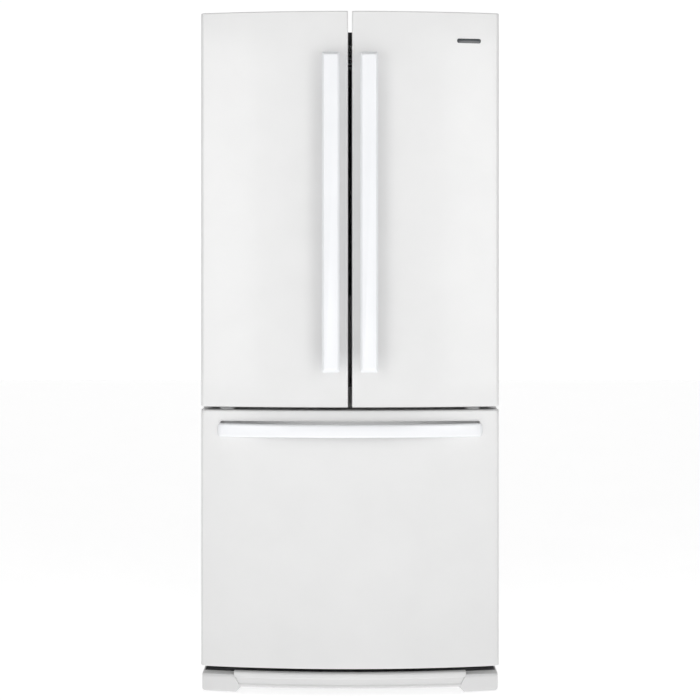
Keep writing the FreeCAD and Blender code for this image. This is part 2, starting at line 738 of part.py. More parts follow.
def shelf_frame(side, z):
    """Two cantilever brackets and the trims that hold one half-width shelf's glass."""
    back = LINER_BACK_Y - 7
    pieces = []
    for x in TRACK_X:
        bracket = polygon_prism(
            [
                V(side * x - 1.5, SHELF_FRONT_Y + 20, z - 4),
                V(side * x - 1.5, back, z - 4),
                V(side * x - 1.5, back, z - 62),
                V(side * x - 1.5, back - 60, z - 46),
                V(side * x - 1.5, SHELF_FRONT_Y + 20, z - 16),
            ],
            V(3, 0, 0),
        )
        pieces.append(bracket)
    x0, x1 = sorted((side * 6, side * 320))
    for y0, y1, low in ((SHELF_FRONT_Y, SHELF_FRONT_Y + 20, z - 8), (SHELF_BACK_Y - 14, SHELF_BACK_Y, z - 4)):
        trim = box(x0, x1, y0, y1, low, z + GLASS + 3)
        pane = box(x0 + 3, x1 - 3, SHELF_FRONT_Y + 4, SHELF_BACK_Y - 4, z, z + GLASS)
        pieces.append(trim.cut(pane))
    return [fused(pieces[:1]), fused(pieces[1:2])] + pieces[2:]


def shelf_glass(side, z):
    x0, x1 = sorted((side * 9, side * 317))
    pane = box(x0, x1, SHELF_FRONT_Y + 4, SHELF_BACK_Y - 4, z, z + GLASS)
    return pane


def crisper_cover():
    """Frame over both crispers: front and back bars, side bars and a middle bar, with a recess for the glass."""
    z = CRISPER_COVER_Z
    whole = box(-LINER_X + 1, LINER_X - 1, SHELF_FRONT_Y, SHELF_BACK_Y, z - 22, z + GLASS)
    for x0, x1 in ((-310, -14), (14, 310)):
        whole = whole.cut(box(x0, x1, SHELF_FRONT_Y + 30, SHELF_BACK_Y - 22, z - 23, z + GLASS + 1))
    recess = box(-318, 318, SHELF_FRONT_Y + 12, SHELF_BACK_Y - 12, z, z + GLASS + 1)
    whole = whole.cut(recess)
    for side in (-1, 1):
        x = side * 160
        groove = box(x - 36, x + 36, SHELF_FRONT_Y - 1, SHELF_FRONT_Y + 3, z - 13, z - 7)
        whole = whole.cut(groove)
    web = box(-4, 4, SHELF_FRONT_Y + 6, SHELF_BACK_Y - 60, FRESH_Z[0], z - 22)
    return fused([whole, web])


def crisper_glass():
    z = CRISPER_COVER_Z
    return box(-317.5, 317.5, SHELF_FRONT_Y + 12.5, SHELF_BACK_Y - 12.5, z, z + GLASS)


def tray(x0, x1, y0, y1, z0, z1, wall, corner):
    """An open-topped box with rounded vertical corners."""
    outer = rounded_box(x0, x1, y0, y1, z0, z1, corner, "z")
    inner = rounded_box(x0 + wall, x1 - wall, y0 + wall, y1 - wall, z0 + wall, z1 + 1, corner - wall, "z")
    return outer.cut(inner)


def crisper():
    """Left crisper: a deep tray with a rolled front lip to pull it by."""
    x0, x1 = CRISPER_X
    z0, z1 = CRISPER_Z
    bin_body = tray(x0, x1, SHELF_FRONT_Y + 3, 318, z0, z1, 2.5, 10)
    lip = box(x0 + 12, x1 - 12, SHELF_FRONT_Y - 5, SHELF_FRONT_Y + 4, z1 - 20, z1 - 2)
    lip = lip.cut(box(x0 + 15, x1 - 15, SHELF_FRONT_Y - 2, SHELF_FRONT_Y + 3, z1 - 21, z1 - 5))
    return fused([bin_body, lip])


def humidity_control():
    """Left crisper's humidity slider: a knob on a stem that runs in the cover's groove."""
    z = CRISPER_COVER_Z - 10
    knob = rounded_box(-160 - 9, -160 + 9, SHELF_FRONT_Y - 6, SHELF_FRONT_Y - 0.4, z - 7, z + 7, 3, "y")
    stem = box(-160 - 5, -160 + 5, SHELF_FRONT_Y - 1, SHELF_FRONT_Y + 2.5, z - 2.6, z + 2.6)
    return fused([knob, stem])


def door_bin(level):
    """One of the left door's bins, hung on lugs by a grooved pad inside each end."""
    x0 = RIDGE_X[0] + RIDGE_WIDTH + 1.5
    x1 = RIDGE_X[1] - RIDGE_WIDTH - 1.5
    z0 = BIN_Z[level]
    z1 = z0 + BIN_HEIGHT[level]
    front = DOOR_BACK_Y + 1.5
    body = tray(x0, x1, front, BIN_BACK_Y, z0, z1, BIN_WALL, 12)
    pads, grooves = [], []
    reach = LUG + 2.5
    for a, b in ((x0, x0 + reach), (x1 - reach, x1)):
        pads.append(box(a, b, -283, -257, z0, z0 + 82))
    for a, b in ((x0 - 1, x0 - 1.5 + LUG + 0.5), (x1 + 1.5 - LUG - 0.5, x1 + 1)):
        grooves.append(box(a, b, -279, -261, z0 - 1, z0 + 70.3))
    return fused([body] + pads).cut(Part.makeCompound(grooves))


def control_housing():
    """Control pod on the ceiling behind the doors, and the guide that folds the flipper mullion."""
    z0, z1 = FRESH_Z[1] - 40, FRESH_Z[1]
    pod = polygon_prism(
        [
            V(-130, -190, z1),
            V(-130, -190, z1 - 12),
            V(-130, -168, z0),
            V(-130, -50, z0),
            V(-130, -36, z1 - 14),
            V(-130, -36, z1),
        ],
        V(260, 0, 0),
    )
    pod = filleted(pod, 6.0, lambda p: near(abs(p.x), 130) and p.z < z1 - 0.1)
    px, py = FLIPPER_PIVOT
    groove = cylinder(px, py, z1 - 11, GUIDE_SWING + GUIDE_PIN_R + 1, 7)
    groove = groove.cut(cylinder(px, py, z1 - 12, GUIDE_SWING - GUIDE_PIN_R - 1, 9))
    guide = box(-16, 16, -272, -230, z1 - 10, z1).cut(groove)
    return [pod, guide]


def light_lens():
    """Frosted cover of the ceiling light, behind the control pod."""
    z1 = FRESH_Z[1]
    lens = box(-110, 110, -30, 60, z1 - 16, z1)
    return filleted(lens, 9.0, lambda p: near(p.z, z1 - 16))


def air_duct_covers():
    """Air tower up the fresh food back wall, and the panel in front of the evaporator."""
    tower = box(-48, 48, LINER_BACK_Y - 22, LINER_BACK_Y, 1030, 1610)
    tower = filleted(tower, 8.0, lambda p: near(p.y, LINER_BACK_Y - 22) and near(abs(p.x), 48))
    tower = tower.cut(box(-42, 42, LINER_BACK_Y - 19, LINER_BACK_Y + 1, 1036, 1604))
    vents = []
    for z in (1100, 1200, 1300, 1400, 1500, 1560):
        for side in (-1, 1):
            x0, x1 = sorted((side * 8, side * 36))
            vents += [box(x0, x1, LINER_BACK_Y - 23, LINER_BACK_Y - 18, z + k, z + k + 4) for k in (0, 9)]
    tower = tower.cut(Part.makeCompound(vents))
    y = EVAP_COVER_Y
    panel = box(-LINER_X + 13, LINER_X - 13, y, y + 3, STEP_Z, FREEZER_Z[1])
    holes = []
    for k in range(9):
        z = 580 + 9 * k
        reach = math.sqrt(max(0.0, 46.0**2 - (z + 2 - FAN_Z) ** 2))
        if reach > 8:
            holes.append(box(-reach, reach, y - 1, y + 4, z, z + 4))
    for k in range(14):
        x = -260 + 40 * k
        holes.append(box(x - 14, x + 14, y - 1, y + 4, STEP_Z + 10, STEP_Z + 16))
    return [tower, panel.cut(Part.makeCompound(holes))]


# ---------------------------------------------------------------- freezer


def freezer_rails():
    """Fixed members of the drawer's slides, and the ledges that the upper basket runs on."""
    z = SLIDE_Z
    channel = box(-LINER_X, -313, SLIDE_FRONT_Y, 290, z - 20, z + 20)
    channel = channel.cut(box(-325, -312, SLIDE_FRONT_Y - 1, 291, z - 18, z + 18))
    ledge = box(-LINER_X, -309, -225, 285, 424, 428)
    return both(channel) + both(ledge)


def freezer_middle_slides():
    z = SLIDE_Z
    member = box(-323, -311, SLIDE_FRONT_Y, 288, z - 17, z + 17)
    member = member.cut(box(-317.5, -310, SLIDE_FRONT_Y - 1, 289, z - 11, z + 11))
    return both(member)


def freezer_drawer_slides():
    """Inner slide members, fixed to the drawer's ridge, with the arms that the lower basket hangs on."""
    z = SLIDE_Z
    member = box(-316.5, -303, RIDGE_Y, 190, z - 10, z + 10)
    web = box(-303, -300, RIDGE_Y, 100, z - 44, z + 10)
    shelf = box(-300, -288, RIDGE_Y, 100, z - 44, z - 41)
    return both(fused([member, web, shelf]))


def lower_basket():
    """Deep freezer basket, hung by its rim on the drawer's arms."""
    z1 = SLIDE_Z - 41 + 3
    body = tray(-286, 286, -228, 92, 140, z1, 3, 22)
    rim = rounded_box(-298, 298, -232, 96, z1 - 3, z1, 24, "z")
    rim = rim.cut(rounded_box(-284, 284, -226, 90, z1 - 4, z1 + 1, 20, "z"))
    return fused([body, rim])


def upper_basket():
    """Shallow freezer basket on ledges, above the slides."""
    body = tray(-300, 300, -222, 270, 418, 530, 3, 18)
    runner = box(-320, -299, -200, 262, 428.3, 433)
    return fused([body] + both(runner))


def crown_slab(half, low, high, front, back):
    """Slab that follows the drawer's curved front between two depths behind it."""
    front_arc = Part.Arc(
        V(-half, crown_y(half, front), low), V(0, crown_y(0, front), low), V(half, crown_y(half, front), low)
    )
    back_arc = Part.Arc(
        V(-half, crown_y(half, back), low), V(0, crown_y(0, back), low), V(half, crown_y(half, back), low)
    )
    ends = [
        Part.LineSegment(V(x, crown_y(x, front), low), V(x, crown_y(x, back), low)).toShape() for x in (-half, half)
    ]
    outline = Part.Wire([front_arc.toShape(), ends[1], back_arc.toShape(), ends[0]])
    return Part.Face(outline).extrude(V(0, 0, high - low))


def pocket(grow, front):
    """The finger pocket's volume behind the drawer's handle, made larger all round by a wall."""
    low, high = POCKET_Z
    inset = POCKET_WALL - grow
    return crown_slab(POCKET_HALF - inset, low + inset, high - inset, front, POCKET_DEPTH + grow)


def drawer_handle():
    """Bowed bar across the freezer drawer, and the shallow finger pocket let into the front behind it."""
    low, high = BOW_Z
    front = CROWN_Y - BOW_REACH
    end_y = crown_y(BOW_HALF) - BOW_END_PROUD
    root_y = end_y + BOW_THICK + 6
    sag = end_y - front
    radius = (BOW_HALF**2 + sag**2) / (2 * sag)

    def bow(y_end, y_mid):
        return Part.Arc(V(-BOW_HALF, y_end, low), V(0, y_mid, low), V(BOW_HALF, y_end, low)).toShape()

    def side(x):
        return Part.LineSegment(V(x, end_y, low), V(x, root_y, low)).toShape()

    def on_front(p):
        y = front + radius - math.sqrt(radius**2 - min(abs(p.x), BOW_HALF) ** 2)
        return (near(p.z, low) or near(p.z, high)) and p.y < y + 7

    outline = [bow(end_y, front), side(-BOW_HALF), bow(root_y, front + BOW_THICK), side(BOW_HALF)]
    bar = Part.Face(Part.Wire(outline)).extrude(V(0, 0, high - low))
    bar = filleted(bar, 6.0, lambda p: near(abs(p.x), BOW_HALF) and p.y < end_y + 0.1)
    bar = filleted(bar, 4.5, on_front)
    cavity = pocket(0, -1)
    bar = bar.cut(door_block(*DRAWER, 0.0, DOOR_BACK_Y, DRAWER_CORNERS).cut(cavity))
    cup = pocket(POCKET_WALL, 0).cut(cavity)
    post = box(-324, -303, -360, -336, POCKET_Z[0] + 1, POCKET_Z[0] + 20)
    post = post.common(crown_slab(POCKET_HALF, *POCKET_Z, -3, POCKET_DEPTH + 1))
    return fused([bar, cup] + both(post))


# ---------------------------------------------------------------- cooling system
def evaporator():
    """Finned coil behind the freezer's rear panel, with its defrost heater below."""
    y0, y1, z0, z1 = 308.0, 346.0, 392.0, 556.0
    tube_rows = [(y, z) for y in (317.0, 337.0) for z in (412.0, 444.0, 476.0, 508.0, 540.0)]
    fins = [box(-240 + 20 * k, -239 + 20 * k, y0, y1, z0, z1) for k in range(25)]
    tubes = [cylinder(-256, y, z, 4, 512, V(1, 0, 0)) for y, z in tube_rows]
    bends = []
    for y in (317.0, 337.0):
        for side, heights in ((-256, (412.0, 476.0)), (256, (444.0, 508.0))):
            for z in heights:
                ring = Part.makeTorus(16, 4, V(side, y, z + 16), V(0, 1, 0))
                half = box(side - 30, side, y - 6, y + 6, z - 8, z + 40)
                if side > 0:
                    half = box(side, side + 30, y - 6, y + 6, z - 8, z + 40)
                bends.append(ring.common(half))
    coil = fused(fins + tubes + bends)
    heater = cylinder(-230, 327, 380, 5, 460, V(1, 0, 0))
    return [coil, heater]


def fan_blade(x, y, z, axis, radius):
    """A four-blade fan about a hub, turning on an axis along X or Y."""
    hub = cylinder(0, 0, -7, radius * 0.28, 14)
    hub = hub.cut(cylinder(0, 0, -4, 2.0 + RUNNING, 12))
    blades = []
    for k in range(4):
        blade = box(radius * 0.2, radius, -radius * 0.32, radius * 0.32, -0.9, 0.9)
        blade = blade.common(cylinder(0, 0, -3, radius, 6))
        blade.rotate(V(0, 0, 0), V(1, 0, 0), 28)
        blade.rotate(V(0, 0, 0), V(0, 0, 1), 90 * k)
        blades.append(blade)
    fan = fused([hub] + blades)
    fan.rotate(V(0, 0, 0), V(0, 1, 0) if axis.x else V(1, 0, 0), 90 if axis.x else -90)
    fan.translate(V(x, y, z))
    return fan


def fan_motors():
    """Motor and bracket of the evaporator fan, and motor and shroud of the condenser fan."""
    x, y, z = EVAP_FAN
    motor = cylinder(x, y + 10, z, 18, LINER_BACK_Y - 3 - (y + 10), V(0, 1, 0))
    shaft = cylinder(x, y - 3, z, 2, 14, V(0, 1, 0))
    arm = box(-100, 100, LINER_BACK_Y - 6, LINER_BACK_Y, z - 6, z + 6)
    evap = fused([motor, shaft, arm])
    x, y, z = COND_FAN
    shroud = box(x + 16, x + 19, y - 72, y + 72, TRAY_Z + 2, z + 70)
    shroud = shroud.cut(cylinder(x + 10, y, z, COND_FAN_R + 4, 12, V(1, 0, 0)))
    motor = cylinder(x + 12, y, z, 20, 30, V(1, 0, 0))
    shaft = cylinder(x - 3, y, z, 2, 16, V(1, 0, 0))
    spider = [box(x + 16, x + 19, y - 64, y + 64, z - 5, z + 5), box(x + 16, x + 19, y - 5, y + 5, z - 64, z + 64)]
    cond = fused([shroud, motor, shaft] + spider)
    return [evap, cond]


def compressor():
    """Sealed motor-compressor can with its base plate, grommets, terminal box and pipe stubs."""
    x, y = COMPRESSOR
    low = cylinder(x, y, 68, 82, 70)
    high = cylinder(x, y, 132, 78, 74)
    low = filleted(low, 30.0, lambda p: near(p.z, 68))
    high = filleted(high, 34.0, lambda p: near(p.z, 206))
    seam = cylinder(x, y, 130, 85, 5)
    plate = rounded_box(x - 100, x + 80, y - 88, y + 88, 62, 66, 14, "z")
    saddle = cylinder(x, y, 64, 50, 14)
    grommets = []
    for gx in (x - 84, x + 64):
        for gy in (y - 72, y + 72):
            plate = plate.cut(cylinder(gx, gy, 60, 6, 8))
            stud = cylinder(gx, gy, TRAY_Z + 2, 6, 26)
            collar = cylinder(gx, gy, TRAY_Z + 2, 11, 20)
            washer = cylinder(gx, gy, 66, 10, 3)
            grommets.append(fused([stud, collar, washer]))
    terminal = box(x - 30, x + 30, y + 70, y + 104, 120, 176)
    stubs = [cylinder(x - 60, y - 20, 150, 4, 40, V(-1, 0, 0)), cylinder(x - 60, y + 24, 110, 4, 40, V(-1, 0, 0))]
    can = fused([low, high, seam, plate, saddle, terminal] + stubs)
    return [can] + grommets


def condenser():
    """Serpentine condenser in three decks, its discharge line and the filter drier."""
    decks = []
    for z in (86.0, 120.0, 154.0):
        points = []
        for k in range(7):
            y = 224 + 28 * k
            ends = (-290, -50) if k % 2 == 0 else (-50, -290)
            points += [V(ends[0], y, z), V(ends[1], y, z)]
        decks.append(pipe(points, 3.0, 13.5))
    ribs = []
    for k in range(12):
        x = -270 + 18 * k
        ribs.append(box(x, x + 1.2, 214, 402, 80, 160))
    coil = fused(decks + ribs)
    y = 206.0
    line = pipe(
        [V(COMPRESSOR[0] - 104, COMPRESSOR[1] - 20, 150), V(100, 280, 150), V(88, y, 150), V(88, y, 240), V(-200, y, 240)],
        3.5,
        9.0,
    )
    drier = cylinder(-330, 240, 190, 11, 90, V(0, 1, 0))
    drier = drier.makeChamfer(5.0, [e for e in drier.Edges if e.Closed])
    return [coil, line, drier]


def drain_pan():
    """Shallow pan under the condenser that catches the defrost water."""
    return tray(-306, -30, 208, 406, TRAY_Z + 2, 66, 2.5, 12)


# ---------------------------------------------------------------- the nodes
def export_door(name, mirror):
    """The left door's own pieces, or their mirror images for the right door."""
    turn = mirrored if mirror else (lambda shape: shape)
    ridge = RIDGE_X + RIDGE_Z
    seats = Part.makeCompound(bearing_seats())
    core, bars = door_foam(LEFT_DOOR, LEFT_CORNERS, ridge)
    liner = fused([door_liner(LEFT_DOOR, LEFT_CORNERS, ridge)] + bin_lugs())
    seal_x = (LEFT_DOOR[0] + 16, LEFT_DOOR[1] - 6)
    hardware = hinge_bearings() + ([] if mirror else flipper_knuckles())
    export(name + "_skin", [turn(skin(LEFT_DOOR, LEFT_CORNERS).cut(seats))])
    export(name + "_insulation", [turn(s) for s in [core.cut(seats)] + bars])
    export(name + "_liner", [turn(liner)])
    export(name + "_gasket", [turn(gasket(*seal_x, DOOR_BOTTOM + 16, CABINET_TOP - 14))])
    export(name + "_handle", [turn(door_handle())])
    export(name + "_hinge_bearings", [turn(s) for s in hardware])
    side = name.split("_")[0]
    for level in BIN_Z:
        export(side + "_" + level + "_bin", [turn(door_bin(level))])


def export_drawer():
    core, bars = door_foam(DRAWER, DRAWER_CORNERS, DRAWER_RIDGE)
    mouth = pocket(POCKET_WALL, -1)
    export("freezer_drawer_skin", [skin(DRAWER, DRAWER_CORNERS).cut(mouth)])
    export("freezer_drawer_insulation", [core.cut(mouth)] + bars)
    export("freezer_drawer_liner", [door_liner(DRAWER, DRAWER_CORNERS, DRAWER_RIDGE)])
    export("freezer_drawer_gasket", [gasket(-HALF + 16, HALF - 16, DRAWER_BOTTOM + 10, DRAWER_TOP - 8)])
    export("freezer_drawer_handle", [drawer_handle()])
    export("freezer_drawer_slides", freezer_drawer_slides())
    export("freezer_middle_slides", freezer_middle_slides())
    export("lower_basket", [lower_basket()])
    export("upper_basket", [upper_basket()])


def export_cabinet():
    export("cabinet_shell", [cabinet_shell()])
    export("cabinet_insulation", cabinet_insulation())
    export("fresh_food_liner", [fresh_food_liner()])
    export("freezer_liner", [freezer_liner()])
    export("rear_panels", rear_panel() + [machine_cover()])
    export("power_cord_inlet", [power_cord_inlet()])
    export("base_frame", [base_frame()])
    export("base_grille", base_grille())
    export("rear_rollers", rear_rollers())
    export("left_leveling_foot", [leveling_foot()])
    export("right_leveling_foot", [mirrored(leveling_foot())])
    for name, left in (
        ("top_hinges", top_hinge()),
        ("top_hinge_covers", [top_hinge_cover()]),
        ("center_hinges", center_hinge()),
    ):
        export(name, left + [mirrored(s) for s in left])


def export_interior():
    frames, panes = shelf_tracks(), [crisper_glass()]
    for side, heights in SHELF_Z.items():
        for z in heights:
            frames += shelf_frame(side, z)
            panes.append(shelf_glass(side, z))
    export("shelf_supports", frames)
    export("glass_shelves", panes)
    export("crisper_cover", [crisper_cover()])
    for side, turn in (("left", lambda shape: shape), ("right", mirrored)):
        export(side + "_crisper", [turn(crisper())])
        export(side + "_humidity_control", [turn(humidity_control())])
    export("control_housing", control_housing())
    export("light_lens", [light_lens()])
    export("air_duct_covers", air_duct_covers())
    export("freezer_rails", freezer_rails())
    export("flipper_mullion", [flipper_mullion()])


def export_cooling():
    export("evaporator", evaporator())
    export("evaporator_fan", [fan_blade(*EVAP_FAN, V(0, 1, 0), EVAP_FAN_R)])
    export("condenser_fan", [fan_blade(*COND_FAN, V(1, 0, 0), COND_FAN_R)])
    export("fan_motors", fan_motors())
    export("compressor", compressor())
    export("condenser", condenser())
    export("drain_pan", [drain_pan()])


def main():
    os.makedirs("parts", exist_ok=True)
    export_cabinet()
    export_door("left_door", False)
    export_door("right_door", True)
    export_drawer()
    export_interior()
    export_cooling()


main()
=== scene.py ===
import json
import math

import bpy
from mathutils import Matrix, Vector


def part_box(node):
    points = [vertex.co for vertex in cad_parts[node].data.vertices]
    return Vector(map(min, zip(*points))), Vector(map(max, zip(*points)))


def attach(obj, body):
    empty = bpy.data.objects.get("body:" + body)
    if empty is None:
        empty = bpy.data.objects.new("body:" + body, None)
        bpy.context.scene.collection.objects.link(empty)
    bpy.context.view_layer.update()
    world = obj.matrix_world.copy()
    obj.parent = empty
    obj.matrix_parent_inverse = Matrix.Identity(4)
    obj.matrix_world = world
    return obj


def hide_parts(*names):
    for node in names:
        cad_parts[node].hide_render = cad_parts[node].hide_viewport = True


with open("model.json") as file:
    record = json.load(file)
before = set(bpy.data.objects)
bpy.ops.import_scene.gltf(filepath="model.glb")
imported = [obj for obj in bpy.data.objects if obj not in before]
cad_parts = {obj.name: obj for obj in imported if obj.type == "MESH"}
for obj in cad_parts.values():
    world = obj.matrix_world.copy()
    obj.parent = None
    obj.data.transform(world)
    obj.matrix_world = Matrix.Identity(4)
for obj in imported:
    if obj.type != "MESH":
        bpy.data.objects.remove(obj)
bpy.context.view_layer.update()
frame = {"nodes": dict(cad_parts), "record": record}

MM = 0.001
NODES = frame["nodes"]


# ------------------------------------------------------------------ sizes taken from the frame
def low(node):
    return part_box(node)[0]


def high(node):
    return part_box(node)[1]


HALF = high("freezer_drawer_skin").x
CROWN_Y = low("freezer_drawer_skin").y
DOOR_BACK_Y = high("freezer_drawer_skin").y
FLANGE_Y = low("cabinet_shell").y
CROWN = 26.5 * MM  # how much the doors bulge between corner and middle
CROWN_RADIUS = (HALF**2 + CROWN**2) / (2 * CROWN)
SHEET = 1.2 * MM
WALL = 2.0 * MM  # formed plastic


def crown_y(x, inset=0.0):
    """Depth of the doors' curved front at x, moved back by an inset."""
    return CROWN_Y + CROWN_RADIUS - math.sqrt((CROWN_RADIUS - inset) ** 2 - x * x)


# ------------------------------------------------------------------ materials
class Nodes:
    """Short way to wire a procedural material."""

    def __init__(self, name):
        self.material = bpy.data.materials.new(name)
        self.material.use_nodes = True
        self.tree = self.material.node_tree
        self.tree.nodes.clear()
        self.out = self.tree.nodes.new("ShaderNodeOutputMaterial")
        self.shader = self.tree.nodes.new("ShaderNodeBsdfPrincipled")
        self.link(self.shader.outputs[0], self.out.inputs[0])
        self.place = self.tree.nodes.new("ShaderNodeTexCoord").outputs["Object"]

    def link(self, a, b):
        self.tree.links.new(a, b)

    def set(self, **values):
        for key, value in values.items():
            self.shader.inputs[key.replace("_", " ")].default_value = value

    def scaled(self, x, y, z):
        node = self.tree.nodes.new("ShaderNodeMapping")
        node.inputs["Scale"].default_value = (x, y, z)
        self.link(self.place, node.inputs["Vector"])
        return node.outputs[0]

    def distance_behind(self, start, end):
        """Place along the depth, from 0 at the start to 1 at the end."""
        split = self.tree.nodes.new("ShaderNodeSeparateXYZ")
        self.link(self.place, split.inputs[0])
        node = self.tree.nodes.new("ShaderNodeMapRange")
        node.inputs["From Min"].default_value = start
        node.inputs["From Max"].default_value = end
        self.link(split.outputs["Y"], node.inputs["Value"])
        return node.outputs[0]

    def noise(self, scale, detail=3.0, place=None):
        node = self.tree.nodes.new("ShaderNodeTexNoise")
        node.inputs["Scale"].default_value = scale
        node.inputs["Detail"].default_value = detail
        self.link(place or self.place, node.inputs["Vector"])
        return node.outputs[0]

    def cells(self, scale, feature="F1", output="Distance"):
        node = self.tree.nodes.new("ShaderNodeTexVoronoi")
        node.feature = feature
        node.inputs["Scale"].default_value = scale
        self.link(self.place, node.inputs["Vector"])
        return node.outputs[output]

    def ramp(self, value, stops):
        """A colour ramp from (position, grey or colour) stops."""
        node = self.tree.nodes.new("ShaderNodeValToRGB")
        ramp = node.color_ramp
        while len(ramp.elements) < len(stops):
            ramp.elements.new(0.5)
        for element, (position, tone) in zip(ramp.elements, stops):
            element.position = position
            element.color = (tone, tone, tone, 1) if isinstance(tone, float) else (*tone, 1)
        self.link(value, node.inputs[0])
        return node.outputs[0]

    def color(self, value):
        self.link(value, self.shader.inputs["Base Color"])

    def roughness(self, value):
        self.link(value, self.shader.inputs["Roughness"])

    def bump(self, heights):
        """Stacked bumps from (height, depth in metres, strength)."""
        below = None
        for height, depth, strength in heights:
            node = self.tree.nodes.new("ShaderNodeBump")
            node.inputs["Distance"].default_value = depth
            node.inputs["Strength"].default_value = strength
            self.link(height, node.inputs["Height"])
            if below:
                self.link(below, node.inputs["Normal"])
            below = node.outputs[0]
        self.link(below, self.shader.inputs["Normal"])


def tinted(base, share):
    return tuple(min(1.0, c * share) for c in base)


def moulded(name, base, rough, grain_scale, grain_depth, gloss_spread=0.06, coat=0.0):
    """Moulded plastic or enamel: faint mottling, fine surface grain and uneven gloss."""
    n = Nodes(name)
    n.color(n.ramp(n.noise(9.0, 5.0), [(0.3, tinted(base, 0.985)), (0.7, tinted(base, 1.012))]))
    gloss = [(0.3, rough - gloss_spread / 2), (0.7, rough + gloss_spread / 2)]
    n.roughness(n.ramp(n.noise(38.0, 4.0), gloss))
    fine, coarse = n.noise(grain_scale, 2.0), n.noise(grain_scale / 14, 2.0)
    n.bump([(fine, grain_depth, 0.5), (coarse, grain_depth * 3, 0.25)])
    n.set(Coat_Weight=coat, Coat_Roughness=0.08)
    return n.material


def pebbled_enamel():
    """Cabinet sides and top: white enamel rolled with a fine pebble."""
    n = Nodes("pebbled_enamel")
    base = (0.80, 0.80, 0.80)
    pebble = n.cells(330.0, "SMOOTH_F1")
    n.color(n.ramp(n.noise(6.0, 5.0), [(0.3, tinted(base, 0.985)), (0.7, tinted(base, 1.01))]))
    n.roughness(n.ramp(pebble, [(0.1, 0.34), (0.8, 0.48)]))
    n.bump([(pebble, 0.00035, 0.35), (n.noise(1500.0), 0.00006, 0.4)])
    return n.material


def galvanised(name="galvanised_steel"):
    """Zinc-coated sheet with faint spangle and rolling marks."""
    n = Nodes(name)
    spangle = n.cells(70.0, output="Color")
    n.color(n.ramp(spangle, [(0.0, (0.56, 0.57, 0.58)), (1.0, (0.64, 0.65, 0.66))]))
    n.roughness(n.ramp(n.noise(120.0, 5.0), [(0.3, 0.34), (0.7, 0.52)]))
    n.bump([(n.noise(600.0, 3.0, n.scaled(1, 1, 0.06)), 0.00004, 0.4)])
    n.set(Metallic=0.9)
    return n.material


def bright_metal(name, base, rough, stretch):
    """Turned or drawn metal with fine marks along one direction."""
    n = Nodes(name)
    marks = n.noise(900.0, 4.0, n.scaled(*stretch))
    n.color(n.ramp(marks, [(0.3, tinted(base, 0.9)), (0.7, tinted(base, 1.05))]))
    n.roughness(n.ramp(marks, [(0.3, rough - 0.06), (0.7, rough + 0.08)]))
    n.bump([(marks, 0.00003, 0.4)])
    n.set(Metallic=1.0)
    return n.material


def dark_enamel(name, tone, rough):
    """Black stoved enamel with orange peel and a little dust."""
    n = Nodes(name)
    dust = n.noise(26.0, 6.0)
    n.color(n.ramp(dust, [(0.45, (tone, tone, tone)), (0.8, (tone * 2.4, tone * 2.3, tone * 2.2))]))
    n.roughness(n.ramp(dust, [(0.4, rough), (0.8, min(0.95, rough + 0.25))]))
    n.bump([(n.noise(420.0, 2.0), 0.0001, 0.35)])
    return n.material


def clear_plastic():
    """Clear moulded polystyrene with flow lines."""
    n = Nodes("clear_plastic")
    n.set(Base_Color=(0.93, 0.965, 0.98, 1), IOR=1.55, Transmission_Weight=0.92)
    n.roughness(n.ramp(n.noise(30.0, 4.0), [(0.3, 0.04), (0.7, 0.10)]))
    n.bump([(n.noise(45.0, 2.0, n.scaled(1, 1, 0.25)), 0.0003, 0.2)])
    return n.material


def frosted_plastic():
    """Milky lens over the lamps, with a prism texture."""
    n = Nodes("frosted_lens")
    n.set(Base_Color=(0.95, 0.95, 0.93, 1), IOR=1.5, Transmission_Weight=0.55)
    prism = n.cells(210.0)
    n.roughness(n.ramp(prism, [(0.1, 0.35), (0.8, 0.6)]))
    n.bump([(prism, 0.0006, 0.5)])
    return n.material


def shelf_glass():
    """Tempered glass, a little green, with faint smears."""
    n = Nodes("shelf_glass")
    n.set(Base_Color=(0.86, 0.95, 0.92, 1), IOR=1.5, Transmission_Weight=0.95)
    n.roughness(n.ramp(n.noise(14.0, 6.0), [(0.45, 0.02), (0.75, 0.12)]))
    n.bump([(n.noise(4.0, 2.0), 0.0004, 0.08)])
    return n.material


def foam():
    """Rigid foam: cells and a skin of slightly browner resin."""
    n = Nodes("foam")
    cell = n.cells(420.0)
    n.color(n.ramp(n.noise(12.0, 6.0), [(0.3, (0.74, 0.64, 0.38)), (0.7, (0.83, 0.75, 0.50))]))
    n.roughness(n.ramp(cell, [(0.1, 0.8), (0.8, 0.95)]))
    n.bump([(cell, 0.0008, 0.6)])
    return n.material


